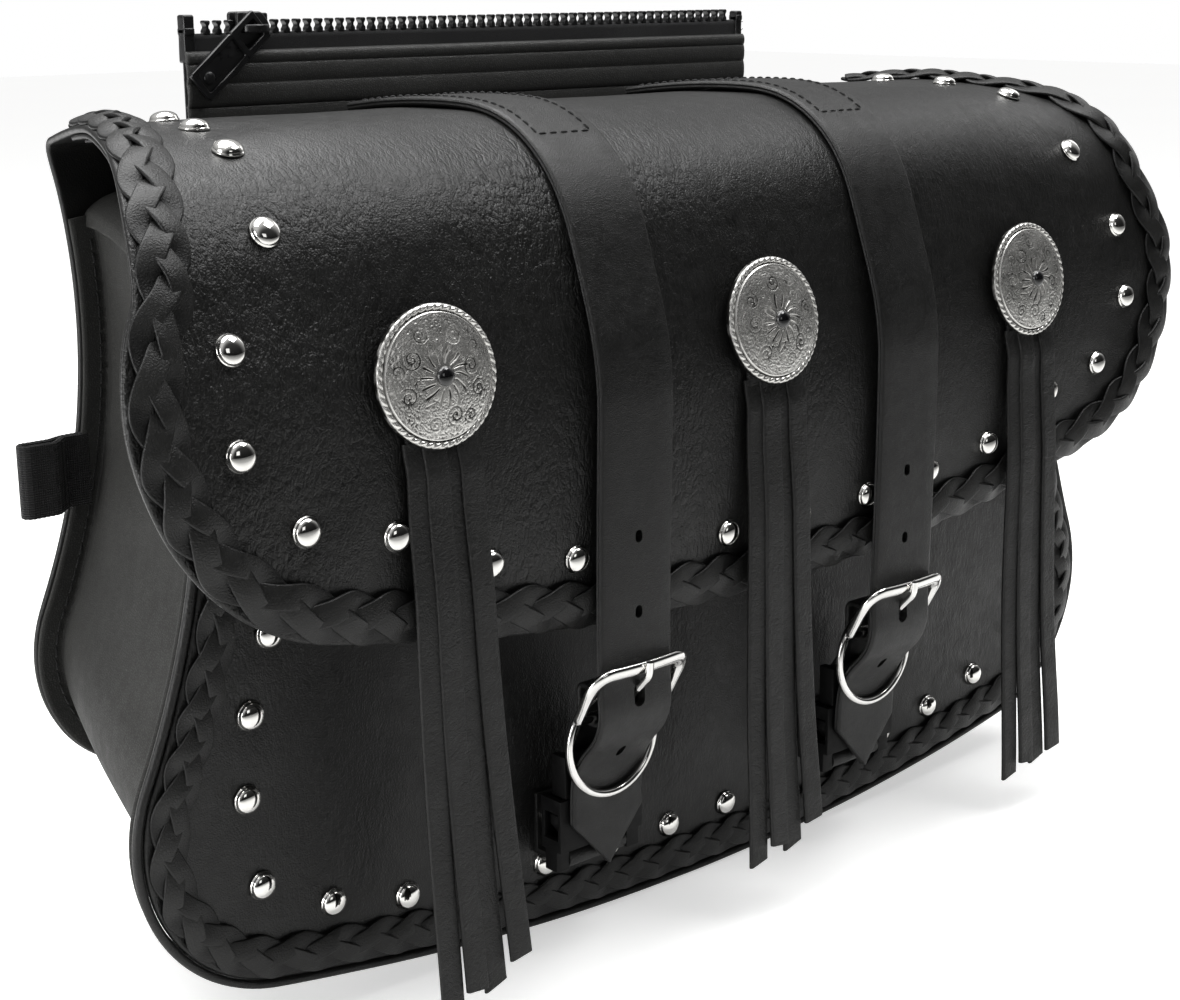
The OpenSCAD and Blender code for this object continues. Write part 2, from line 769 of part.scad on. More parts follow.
module conchos() {
    rim = concho_d / 2;
    base = head_t + 0.3;
    color("silver") at_conchos() rotate_extrude($fn = 64) polygon(concat(
        [[rim - 2.2, base], [rim, base], [rim, base + 1.2], [rim - 0.8, base + 1.9]],
        [for (k = [0:8]) let (r = (rim - 2.4) - (rim - 5.6) * k / 8)
            [r, base + 1.2 + 3.4 * (1 - pow(r / rim, 2))]],
        [for (k = [0:8]) let (r = 3.2 + (rim - 5.4) * k / 8)
            [r, base + 0.3 + 3.4 * (1 - pow(r / rim, 2))]]));
}

module concho_stones() {
    base = head_t + 3.6;
    color("black") at_conchos() rotate_extrude($fn = 32) polygon(concat(
        [[0, base], [3, base], [3, base + 1.4]],
        [for (k = [1:6]) let (a = 15 * k) [3 * cos(a), base + 1.4 + 1.6 * sin(a)]]));
}

module concho_screws() {
    color("silver") at_conchos() {
        translate([0, 0, -lid_stack - 0.2]) cylinder(h = lid_stack + head_t + 3.7, r = 2, $fn = 32);
        translate([0, 0, -lid_stack - 1.8]) cylinder(h = 1.6, r = 5, $fn = 32);
    }
}

// The top of each fringe, clamped under its concho.
module fringe_heads() {
    color("#242424") at_conchos() difference() {
        box([-12, 12], [fringe_pivot_z - concho_z + 0.6, 9], [skin, skin + head_t - 0.2]);
        cylinder(h = 10, r = 2.2, center = true, $fn = 24);
    }
}

// One strand: it clears the studs, hangs down and leans sideways by lean.
module strand(x, layer, lean, tip) {
    t = strand_t;
    y = -156.9 - layer * (t + skin);
    drop = fringe_pivot_z - 0.7;
    translate([x, 0, drop]) rotate([0, lean, 0]) along_x(-strand_w / 2, strand_w / 2) polygon([
        [y, 0], [y - 3.4, -16], [y - 3.4, tip - drop], [y - 3.4 - t, tip - drop],
        [y - 3.4 - t, -16], [y - t, 0]]);
}

module fringe(x, tip) {
    color("#242424") for (k = [0:3])
        strand(x + strand_pitch * (k - 1.5), (k % 2), 1.6 * (1.5 - k), tip + [0, 4, 2, 9][k]);
}

// ---------------------------------------------------------------- assembly

module on_strap(side) {
    translate([side * strap_x, 0, 0]) children();
}

back_panel();
back_board();
back_lining();
gusset();
base_board();
front_panel();
front_board();
front_lining();
front_piping();
front_braid();
front_studs();
tie_loops();
zip_facing();
zip_tape();
zip_teeth();
zip_box();
zip_stop();
zip_slider();
zip_pull();
lid_leather();
lid_board();
lid_lining();
lid_braid();
lid_studs();
on_strap(-1) strap();  // strap_left
on_strap(1) strap();  // strap_right
on_strap(-1) buckle_frame();  // buckle_frame_left
on_strap(1) buckle_frame();  // buckle_frame_right
on_strap(-1) prong();  // prong_left
on_strap(1) prong();  // prong_right
on_strap(-1) keeper_ring();  // ring_left
on_strap(1) keeper_ring();  // ring_right
on_strap(-1) chape();  // chape_left
on_strap(1) chape();  // chape_right
on_strap(-1) clip();  // clip_left
on_strap(1) clip();  // clip_right
on_strap(-1) mirror([1, 0, 0]) clip_arm();  // clip_arm_left_a
on_strap(-1) clip_arm();  // clip_arm_left_b
on_strap(1) mirror([1, 0, 0]) clip_arm();  // clip_arm_right_a
on_strap(1) clip_arm();  // clip_arm_right_b
on_strap(-1) socket();  // socket_left
on_strap(1) socket();  // socket_right
socket_tabs();
tab_rivets();
conchos();
concho_stones();
concho_screws();
fringe_heads();
fringe(-concho_pitch, fringe_tip_z);  // fringe_left
fringe(0, fringe_tip_z + 7);  // fringe_middle
fringe(concho_pitch, fringe_tip_z);  // fringe_right
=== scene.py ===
"""Looks of a studded leather motorcycle saddlebag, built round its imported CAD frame.

Lengths in this script are millimetres until a mesh is made, which turns them into metres.
X runs along the bag, -Y is the front and +Z is up, as in the frame.
"""

import math

import bmesh
import bpy
import numpy as np
from mathutils import Matrix, Vector, noise

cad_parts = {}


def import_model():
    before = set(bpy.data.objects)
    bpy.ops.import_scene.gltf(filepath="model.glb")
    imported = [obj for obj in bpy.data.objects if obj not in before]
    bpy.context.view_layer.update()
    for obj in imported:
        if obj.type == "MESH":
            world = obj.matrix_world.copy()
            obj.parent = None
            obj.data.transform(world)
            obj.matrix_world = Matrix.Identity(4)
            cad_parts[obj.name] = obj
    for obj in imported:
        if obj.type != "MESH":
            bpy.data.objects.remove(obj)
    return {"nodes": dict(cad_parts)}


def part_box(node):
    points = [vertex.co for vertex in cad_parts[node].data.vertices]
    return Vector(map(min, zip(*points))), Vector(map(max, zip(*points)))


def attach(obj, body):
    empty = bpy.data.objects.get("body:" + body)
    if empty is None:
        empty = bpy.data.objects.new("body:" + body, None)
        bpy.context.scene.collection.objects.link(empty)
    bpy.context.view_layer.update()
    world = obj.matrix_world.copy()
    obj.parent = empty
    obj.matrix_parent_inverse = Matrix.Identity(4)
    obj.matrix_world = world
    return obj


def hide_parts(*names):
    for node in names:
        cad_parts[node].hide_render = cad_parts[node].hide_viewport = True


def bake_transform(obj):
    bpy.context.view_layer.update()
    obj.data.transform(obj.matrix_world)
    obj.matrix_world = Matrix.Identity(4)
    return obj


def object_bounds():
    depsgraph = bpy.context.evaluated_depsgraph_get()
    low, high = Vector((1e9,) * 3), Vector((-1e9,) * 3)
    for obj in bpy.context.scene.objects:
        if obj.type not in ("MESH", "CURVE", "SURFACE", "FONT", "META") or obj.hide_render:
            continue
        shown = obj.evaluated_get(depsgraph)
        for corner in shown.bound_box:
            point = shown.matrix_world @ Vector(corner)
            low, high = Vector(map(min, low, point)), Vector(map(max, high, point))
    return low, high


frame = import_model()
cad_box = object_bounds()

MM = 0.001
SIDES = {"left": -1, "right": 1}


def cad(name):
    """Lowest and highest corner of a CAD node, in millimetres."""
    low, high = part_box(name)
    return np.array(low) / MM, np.array(high) / MM


# ---------------------------------------------------------------- driving sizes

LEATHER_T = 2.4
BOARD_T = 1.6
LINING_T = 0.8
SKIN = 0.1

FRONT_LOW, FRONT_HIGH = cad("front_panel")
FRONT_Y = FRONT_LOW[1]
MOUTH_Z = FRONT_HIGH[2]
TOP_Z = 125.0
BACK_SHARE = 0.88
FLANGE = 11.0
CORNER = np.array([170.0, -72.0])
CORNER_R = 53.0
CORNER_SPLIT = -35.0
WAIST_Z = 60.0
WAIST_R = 272.0

SHOULDER = np.array([-98.0, 86.0])
SHOULDER_R = 49.0
CREST_R = 400.0
CREST_LEAN = 2.1
FRONT_R = 250.0
FRONT_LEAN = 17.6
FOLD_R = 6.0
LID_LOW_Z = -29.0
LID_CORNER = np.array([160.0, 66.0])
LID_CORNER_R = 76.0
LID_SPLIT = -40.0
LID_BACK_HALF = 178.0
LID_FLARE = 0.206
LID_SWELL = 19.0
SHOULDER_DEPTH = 146.0
HINGE_Y = -25.0

STRAP_X = (cad("strap_right")[0][0] + cad("strap_right")[1][0]) / 2
STRAP_W = cad("strap_right")[1][0] - cad("strap_right")[0][0]
STRAP_T = 3.0
CONCHO_PITCH = 138.5
CONCHO_Z = 65.0
CONCHO_R = 21.0
HEAD_T = 2.0

# ---------------------------------------------------------------- curves


def arc(centre, radius, start, end, step=1.5):
    """Points along an arc between two angles in degrees, about step apart."""
    count = max(2, int(abs(math.radians(end - start)) * radius / step) + 1)
    angle = np.radians(np.linspace(start, end, count))
    return np.column_stack([centre[0] + radius * np.cos(angle), centre[1] + radius * np.sin(angle)])


def join(*runs):
    """One polyline from several, without repeated points."""
    points = np.vstack(runs)
    gaps = np.linalg.norm(np.diff(points, axis=0), axis=1)
    return points[np.r_[True, gaps > 1e-6]]


def flip(points):
    """The mirror image of a polyline in x = 0."""
    return points * np.array([-1.0] + [1.0] * (points.shape[1] - 1))


def lengths(points):
    """Distance along a polyline at each of its points."""
    return np.r_[0, np.cumsum(np.linalg.norm(np.diff(points, axis=0), axis=1))]


def resample(points, count):
    """The polyline cut into count evenly spaced points."""
    along = lengths(points)
    places = np.linspace(0, along[-1], count)
    return np.column_stack([np.interp(places, along, column) for column in points.T])


def spaced(points, step):
    """The polyline cut into even steps of about the given length."""
    return resample(points, max(3, int(lengths(points)[-1] / step) + 1))


def soften(points, reach, step=1.0):
    """The polyline with its corners rounded off over about reach; its ends stay put."""
    fine = spaced(points, step)
    half = max(1, int(reach / step))
    weight = np.hanning(2 * half + 3)[1:-1]
    weight /= weight.sum()
    padded = np.vstack([2 * fine[0] - fine[half:0:-1], fine, 2 * fine[-1] - fine[-2:-half - 2:-1]])
    return np.column_stack([np.convolve(column, weight, "valid") for column in padded.T])


def smooth(value, start=0.0, end=1.0):
    """0 before start, 1 after end and a smooth step in between."""
    t = np.clip((np.asarray(value, float) - start) / (end - start), 0, 1)
    return t * t * (3 - 2 * t)


def unit(vectors):
    return vectors / np.maximum(np.linalg.norm(vectors, axis=-1, keepdims=True), 1e-9)


def tangents(points):
    return unit(np.gradient(points, axis=0))


def soft_noise(u, v, size, layer):
    """Gentle noise between -1 and 1, whose bumps are about size across."""
    flat = zip((np.ravel(u) / size).tolist(), (np.ravel(v) / size).tolist())
    return np.reshape([noise.noise((p, q, layer)) for p, q in flat], np.shape(u))


# ---------------------------------------------------------------- outlines


def tangent_centre(centre, radius, low):
    """Height of the centre of the wide arc that touches the low point and a corner arc."""
    x, z = centre
    return (x * x + z * z - (low + radius) ** 2) / (2 * (z - low - radius))


BASE_Z = tangent_centre(CORNER, CORNER_R, FRONT_LOW[2])
BASE_R = BASE_Z - FRONT_LOW[2]
BASE_TURN = math.degrees(math.atan2(CORNER[1] - BASE_Z, CORNER[0]))
WAIST_X = CORNER[0] + math.sqrt((CORNER_R + WAIST_R) ** 2 - (WAIST_Z - CORNER[1]) ** 2)
WAIST_TURN = math.degrees(math.atan2(WAIST_Z - CORNER[1], WAIST_X - CORNER[0]))
LID_BASE_Z = tangent_centre(LID_CORNER, LID_CORNER_R, LID_LOW_Z)
LID_BASE_R = LID_BASE_Z - LID_LOW_Z
LID_TURN = math.degrees(math.atan2(LID_CORNER[1] - LID_BASE_Z, LID_CORNER[0]))


def pouch_base(inset):
    """Right half of the front panel's lower edge, from the middle to the middle of the corner."""
    return join(arc((0, BASE_Z), BASE_R - inset, -90, BASE_TURN),
                arc(CORNER, CORNER_R - inset, BASE_TURN, CORNER_SPLIT))


def pouch_side(inset, top):
    """Right side edge of the front panel, from the middle of the corner up to the height top."""
    radius = WAIST_R + inset
    end = 180 - math.degrees(math.asin((top - WAIST_Z) / radius))
    return join(arc(CORNER, CORNER_R - inset, CORNER_SPLIT, WAIST_TURN),
                arc((WAIST_X, WAIST_Z), radius, 180 + WAIST_TURN, end))


def shrink(points, share):
    """Outline points drawn towards the top centre, as the bag narrows to its back."""
    return np.array([0, TOP_Z]) + share * (points - np.array([0, TOP_Z]))


def whole(base, side):
    """Both halves as one polyline, from the left top round the bottom to the right top."""
    right = join(base, side)
    return join(flip(right)[::-1], right)


def edges(base, side, top=None):
    """The four edges of a panel: bottom, right, top, left. Without top, the top is straight."""
    if top is None:
        top = np.array([side[-1] * [-1, 1], side[-1]])
    return join(flip(base)[::-1], base), side, top, flip(side)


# ---------------------------------------------------------------- side profile of back and lid

CREST = SHOULDER + (CREST_R - SHOULDER_R) * np.array(
    [math.sin(math.radians(CREST_LEAN)), -math.cos(math.radians(CREST_LEAN))])
FRONT = SHOULDER + (FRONT_R - SHOULDER_R) * np.array(
    [math.cos(math.radians(FRONT_LEAN)), -math.sin(math.radians(FRONT_LEAN))])
FOLD_Z = CREST[1] + math.sqrt((CREST_R - FOLD_R) ** 2 - (FOLD_R + CREST[0]) ** 2)
FOLD_TURN = math.degrees(math.acos((-FOLD_R - CREST[0]) / (CREST_R - FOLD_R)))


def profile_run(centre, radius, start, end):
    """y, z and outward direction, in degrees, along one arc of the side profile."""
    points = arc(centre, radius, start, end, 0.5)
    return np.column_stack([points, np.linspace(start, end, len(points))])


def side_profile():
    """The leather's outer face from below the back, over the fold, the top and the shoulder."""
    back = np.column_stack([np.zeros(300), np.linspace(-160, FOLD_Z, 300), np.zeros(300)])
    runs = [back,
            profile_run((-FOLD_R, FOLD_Z), FOLD_R, 0, FOLD_TURN),
            profile_run(CREST, CREST_R, FOLD_TURN, 90 + CREST_LEAN),
            profile_run(SHOULDER, SHOULDER_R, 90 + CREST_LEAN, 180 - FRONT_LEAN),
            profile_run(FRONT, FRONT_R, 180 - FRONT_LEAN, 202)]
    points = np.vstack(runs)
    return points[np.r_[True, np.linalg.norm(np.diff(points[:, :2], axis=0), axis=1) > 1e-6]]


PROFILE = side_profile()
PROFILE_S = lengths(PROFILE[:, :2])
PROFILE_TOP = int(np.argmax(PROFILE[:, 1]))


def s_at(y, z):
    """Distance along the profile of its point nearest to y, z."""
    spot = np.stack(np.broadcast_arrays(np.asarray(y, float), np.asarray(z, float)), -1)
    gap = np.linalg.norm(spot[..., None, :] - PROFILE[:, :2], axis=-1)
    return PROFILE_S[np.argmin(gap, axis=-1)]


def s_front(z):
    """Distance along the profile where the lid's front is at height z."""
    return np.interp(-np.asarray(z, float), -PROFILE[PROFILE_TOP:, 1], PROFILE_S[PROFILE_TOP:])


def s_back(z):
    """Distance along the profile where the back is at height z."""
    return np.asarray(z, float) + 160


ABOVE = 130.0
S_HINGE = float(np.interp(-HINGE_Y, -PROFILE[:PROFILE_TOP, 0], PROFILE_S[:PROFILE_TOP]))


def lid_side(inset):
    """Right side edge of back and lid as x, s, from the back's corner to the lid's corner."""
    back = shrink(pouch_side(inset / BACK_SHARE, TOP_Z - 8), BACK_SHARE)
    back = np.column_stack([back[:, 0], s_back(back[:, 1])])
    s = np.arange(s_back(FOLD_Z), s_front(LID_CORNER[1]), 1.0)
    y = np.interp(s, PROFILE_S, PROFILE[:, 0])
    z = np.interp(s, PROFILE_S, PROFILE[:, 1])
    share = np.clip(-y / SHOULDER_DEPTH, 0, 1)
    plan = LID_BACK_HALF - LID_FLARE * y + LID_SWELL * share ** 1.6
    plan += 8 * np.maximum(0, -SHOULDER_DEPTH - y)
    face = LID_CORNER[0] + np.sqrt(np.maximum(0, LID_CORNER_R ** 2 - (z - LID_CORNER[1]) ** 2))
    half = np.where(z < LID_CORNER[1] + 34, np.minimum(plan, face), plan) - inset
    top = np.column_stack([half, s])
    corner = arc(LID_CORNER, LID_CORNER_R - inset, 0, LID_SPLIT)
    corner = np.column_stack([corner[:, 0], s_front(corner[:, 1])])
    return soften(join(back[:-4], top, corner), 9)


def lid_base(inset):
    """Right half of the lid's lower edge as x, s, from the middle to the middle of the corner."""
    base = join(arc((0, LID_BASE_Z), LID_BASE_R - inset, -90, LID_TURN),
                arc(LID_CORNER, LID_CORNER_R - inset, LID_TURN, LID_SPLIT))
    return np.column_stack([base[:, 0], s_front(base[:, 1])])


def after(points, s):
    """The part of an x, s polyline beyond the distance s, starting exactly there."""
    start = np.array([np.interp(s, points[:, 1], points[:, 0]), s])
    return join(start[None], points[points[:, 1] > s])


def sheet_edges(inset):
    """Edges of the one piece of leather that is both the back and the lid."""
    back = shrink(pouch_base(inset / BACK_SHARE), BACK_SHARE)
    base = np.column_stack([back[:, 0], s_back(back[:, 1])])
    front = lid_base(inset)
    side = lid_side(inset)
    side[0], side[-1] = base[-1], front[-1]
    return edges(base, side, join(flip(front)[::-1], front))


def lid_edges(inset, start_y=-30.0):
    """Edges of a layer of the lid alone, starting at start_y behind the hinge line."""
    front = lid_base(inset)
    side = after(lid_side(inset), s_at(start_y, ABOVE))
    side[-1] = front[-1]
    base = np.array([[0.0, side[0, 1]], side[0]])
    return edges(base, side, join(flip(front)[::-1], front))


def lid_border(inset, start_y):
    """The lid's border at an inset as one x, s polyline from its left back to its right back."""
    _, right, top, left = lid_edges(inset, start_y)
    return join(left, top, right[::-1])


# ---------------------------------------------------------------- studs' places from the CAD


def islands(name):
    """Centre of each separate solid of a CAD node, in millimetres."""
    mesh = frame["nodes"][name].data
    points = np.array([vertex.co for vertex in mesh.vertices]) / MM
    _, same = np.unique(np.round(points, 3), axis=0, return_inverse=True)
    same = np.ravel(same)
    parent = list(range(same.max() + 1))

    def root(i):
        while parent[i] != i:
            parent[i] = parent[parent[i]]
            i = parent[i]
        return i

    for edge in mesh.edges:
        a, b = root(same[edge.vertices[0]]), root(same[edge.vertices[1]])
        parent[a] = b
    group = np.array([root(i) for i in same])
    boxes = [points[group == g] for g in np.unique(group)]
    return np.array([(part.min(0) + part.max(0)) / 2 for part in boxes])


LID_STUDS = islands("lid_studs")
LID_STUDS_FLAT = np.column_stack([LID_STUDS[:, 0], s_at(LID_STUDS[:, 1], LID_STUDS[:, 2])])
FRONT_STUDS = islands("front_studs")[:, [0, 2]]
CONCHOS_FLAT = np.array([[k * CONCHO_PITCH, float(s_front(CONCHO_Z))] for k in (-1, 0, 1)])

# ---------------------------------------------------------------- faces of the leather

RIPPLE = 0.8
DROOP = 5.0
CUSHION = 2.2


def dimples(u, v, centres, depth, reach):
    """The small hollows that studs pull into the leather."""
    hollow = np.zeros(np.shape(u))
    for centre in centres:
        hollow += np.exp(-((u - centre[0]) ** 2 + (v - centre[1]) ** 2) / reach ** 2)
    return depth * hollow


def on_sheet(flat, depth=0.0):
    """Points of the back-and-lid leather for x, s places, depth below its outer face."""
    x, s = flat[..., 0], flat[..., 1]
    y = np.interp(s, PROFILE_S, PROFILE[:, 0])
    z = np.interp(s, PROFILE_S, PROFILE[:, 1])
    turn = np.radians(np.interp(s, PROFILE_S, PROFILE[:, 2]))
    loose = smooth(s, S_HINGE, S_HINGE + 60)
    edge = smooth(np.abs(x), 120, 215)
    lift = loose * RIPPLE * (soft_noise(x, s, 75, 1.5) + 0.5 * soft_noise(x, s, 28, 7.5))
    lift += loose * edge * 1.6 * soft_noise(x, s, 34, 3.5)
    lift -= dimples(x, s, LID_STUDS_FLAT, 0.7, 6.5)
    fall = DROOP * edge * smooth(-y, 55, 125) * smooth(z, 40, 95)
    lift = lift - depth
    return np.stack([x, y + lift * np.cos(turn), z + lift * np.sin(turn) - fall], -1)


def on_front(flat, depth=0.0):
    """Points of the front panel for x, z places, depth below its outer face."""
    x, z = flat[..., 0], flat[..., 1]
    swell = smooth(1 - np.hypot(x / 205, (z + 25) / 112), 0, 0.55)
    lift = CUSHION * swell + 0.5 * soft_noise(x, z, 60, 11.5) + 0.25 * soft_noise(x, z, 22, 5.5)
    lift -= dimples(x, z, FRONT_STUDS, 0.6, 6.0)
    return np.stack([x, FRONT_Y - lift + depth, z], -1)


def on_back(flat, depth=0.0):
    """Points of the back's inner layers for x, z places; depth counts from the outer face."""
    return np.stack([flat[..., 0], -depth + 0.15 * soft_noise(flat[..., 0], flat[..., 1], 40, 2.5),
                     flat[..., 1]], -1)


# ---------------------------------------------------------------- mesh building


def quads(rows, columns, start=0, close_rows=False, close_columns=False):
    """Faces of a grid of vertices numbered row by row."""
    i = np.arange(rows if close_rows else rows - 1)[:, None]
    j = np.arange(columns if close_columns else columns - 1)[None]
    below, right = (i + 1) % rows, (j + 1) % columns
    corners = [i * columns + j, i * columns + right, below * columns + right, below * columns + j]
    faces = np.stack(np.broadcast_arrays(*corners), -1).reshape(-1, 4)
    return (faces + start).tolist()


def new_piece(name, points, faces, material, sharp=None):
    """A mesh object from points in millimetres, its faces turned outward and shaded smooth."""
    mesh = bpy.data.meshes.new(name)
    mesh.from_pydata((np.asarray(points, float).reshape(-1, 3) * MM).tolist(), [], faces)
    shape = bmesh.new()
    shape.from_mesh(mesh)
    bmesh.ops.recalc_face_normals(shape, faces=shape.faces)
    shape.to_mesh(mesh)
    shape.free()
    mesh.shade_smooth()
    if sharp is not None:
        mesh.set_sharp_from_angle(angle=math.radians(sharp))
    mesh.materials.append(material)
    piece = bpy.data.objects.new(name, mesh)
    bpy.context.scene.collection.objects.link(piece)
    return piece


def finish(piece, body, slot, *nodes):
    """Hangs the piece under its body's empty and hides the CAD nodes it stands for; the slot is not used.
    """
    if body:
        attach(piece, body)
    if nodes:
        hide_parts(*nodes)
    return piece


def store(piece, name, values):
    """Keeps one number or vector per vertex for the piece's material."""
    values = np.asarray(values, np.float32)
    kind, key = ("FLOAT", "value") if values.ndim == 1 else ("FLOAT_VECTOR", "vector")
    attribute = piece.data.attributes.new(name, kind, "POINT")
    attribute.data.foreach_set(key, values.ravel())


def coons(four, across, up):
    """A grid of points filling four edges: bottom and top run right, left and right run up."""
    bottom, right, top, left = four
    b, t = resample(bottom, across), resample(top, across)
    r, l = resample(right, up), resample(left, up)
    u = np.linspace(0, 1, across)[None, :, None]
    v = np.linspace(0, 1, up)[:, None, None]
    corners = (1 - u) * (1 - v) * b[0] + u * (1 - v) * b[-1] + (1 - u) * v * t[0] + u * v * t[-1]
    return (1 - v) * b[None] + v * t[None] + (1 - u) * l[:, None] + u * r[:, None] - corners


def border(grid):
    """The outer ring of a grid of points, once round."""
    return np.concatenate([grid[0, :-1], grid[:-1, -1], grid[-1, :0:-1], grid[:0:-1, 0]])


def slab(name, shape, place, thickness, depth, step, material, inset=0.0):
    """A closed sheet with rounded rims. shape(inset) gives its edges, place(points, depth) lays
    them on the bag. It keeps the flat coordinates in the attribute "flat"."""
    half = thickness / 2
    full = shape(inset)
    across = int(max(lengths(full[0])[-1], lengths(full[2])[-1]) / step) + 1
    up = int(lengths(full[1])[-1] / step) + 1
    turns = np.radians([22.5, 45, 67.5, 90, 112.5, 135, 157.5])
    face = coons(shape(inset + half), across, up)
    rings = [border(coons(shape(inset + half * (1 - math.sin(a))), across, up)) for a in turns]
    levels = [depth + half * (1 - math.cos(a)) for a in turns]
    flat = np.concatenate([face.reshape(-1, 2), *rings, face.reshape(-1, 2)])
    points = np.concatenate([place(face, depth).reshape(-1, 3),
                             *[place(ring, level) for ring, level in zip(rings, levels)],
                             place(face, depth + thickness).reshape(-1, 3)])
    count = across * up
    ring = border(np.arange(count).reshape(up, across))
    loops = [ring] + [count + k * len(ring) + np.arange(len(ring)) for k in range(len(rings))]
    loops.append(count + len(rings) * len(ring) + ring)
    faces = quads(up, across) + quads(up, across, count + len(rings) * len(ring))
    for a, b in zip(loops, loops[1:]):
        faces += np.column_stack([a, np.roll(a, -1), np.roll(b, -1), b]).tolist()
    piece = new_piece(name, points, faces, material)
    store(piece, "flat", np.column_stack([flat, np.zeros(len(flat))]))
    return piece


def sweep(points, across, up, section, closed=False, start=0):
    """Vertices and faces of a section, as across and up offsets, carried along a path."""
    section = np.broadcast_to(section, (len(points), *np.shape(section)[-2:]))
    solid = (points[:, None] + section[..., :1] * across[:, None] + section[..., 1:] * up[:, None])
    rows, columns = solid.shape[:2]
    faces = quads(rows, columns, start, closed, True)
    if not closed:
        faces.append([start + k for k in range(columns)])
        faces.append([start + (rows - 1) * columns + k for k in range(columns)])
    return solid.reshape(-1, 3), faces


def merge(*shapes):
    """Several vertex and face lists, each numbered from zero, as one."""
    points, faces, start = [], [], 0
    for part, part_faces in shapes:
        points.append(np.reshape(part, (-1, 3)))
        faces += [[start + k for k in face] for face in part_faces]
        start += len(points[-1])
    return np.vstack(points), faces


def band(width, thickness, crown=0.0, corners=4):
    """A flat strap's section with rounded edges; crown raises the middle of the upper face."""
    radius = min(thickness, width) / 2 * 0.98
    turn = np.radians(np.linspace(-90, 90, 2 * corners + 1))
    right = np.column_stack([width / 2 - radius + radius * np.cos(turn), radius * np.sin(turn)])
    inner = np.linspace(width / 2 - radius, -width / 2 + radius, 7)[1:-1]
    upper = np.column_stack([inner, thickness / 2 + crown * (1 - (2 * inner / width) ** 2)])
    lower = np.column_stack([-inner, np.full(len(inner), -thickness / 2)])
    return np.vstack([right, upper, right[::-1] * [-1, 1], lower])


def circle(radius, count=16):
    """A round section as x, y points."""
    turn = np.linspace(0, 2 * math.pi, count, endpoint=False)
    return radius * np.column_stack([np.cos(turn), np.sin(turn)])


def ribbon(points, normals, section, closed=False):
    """A section swept along points, its flat side facing along the normals."""
    across = unit(np.cross(tangents(points), normals))
    return sweep(points, across, unit(np.cross(across, tangents(points))), section, closed)


def side_view(x, line):
    """Points at x along a path given as y, z, and the normals that lie in its plane."""
    points = np.column_stack([0 * line[:, 0] + x, line])
    run = tangents(points)
    return points, np.column_stack([0 * run[:, 0], run[:, 2], -run[:, 1]])


def tube(points, radius, count=12, closed=False):
    """A round wire along a path."""
    run = tangents(points)
    guess = np.array([1.0, 0, 0]) if abs(run[0][0]) < 0.9 else np.array([0, 0, 1.0])
    ups = [unit(np.cross(run[0], guess))]
    for k in range(1, len(points)):
        ups.append(unit(ups[-1] - run[k] * (ups[-1] @ run[k])))
    ups = np.array(ups)
    return sweep(points, np.cross(run, ups), ups, circle(radius, count), closed)


def lathe(profile, count=32):
    """A solid turned about the local z axis from radius and height pairs, ending on the axis."""
    turn = np.linspace(0, 2 * math.pi, count, endpoint=False)
    rings = [np.column_stack([r * np.cos(turn), r * np.sin(turn), np.full(count, z)])
             for r, z in profile]
    faces = quads(len(rings), count, 0, False, True)
    faces.append(list(range(count)))
    faces.append([(len(rings) - 1) * count + k for k in range(count)])
    return np.vstack(rings), faces


def scatter(shape, centres, normals, ups=None):
    """Copies of one shape, each stood on a centre with local z along its normal."""
    copies = []
    for k, (centre, normal) in enumerate(zip(centres, normals)):
        up = np.array([0, 0, 1.0]) if ups is None else ups[k]
        side = unit(np.cross(up, normal))
        axes = np.array([side, np.cross(normal, side), normal])
        copies.append((shape[0] @ axes + centre, shape[1]))
    return merge(*copies)


def face_and_normal(place, flat):
    """Points on a leather face, with the outward normals there."""
    flat = np.asarray(flat, float)
    step = 0.8
    point = place(flat)
    du = place(flat + [step, 0]) - place(flat - [step, 0])
    dv = place(flat + [0, step]) - place(flat - [0, step])
    normal = unit(np.cross(du, dv))
    outward = point - place(flat, 1.0)
    return point, normal * np.sign(np.sum(normal * outward, -1, keepdims=True))


# ---------------------------------------------------------------- materials


def feed(socket, value):
    """Links another node's output to a socket, or sets the socket's own value."""
    if isinstance(value, bpy.types.NodeSocket):
        socket.id_data.links.new(value, socket)
    else:
        socket.default_value = value


def add_node(tree, kind, inputs=None, **settings):
    """A new node with its settings and inputs given, each input by name or number."""
    item = tree.nodes.new(kind)
    for key, value in settings.items():
        setattr(item, key, value)
    for key, value in (inputs or {}).items():
        feed(item.inputs[key], value)
    return item


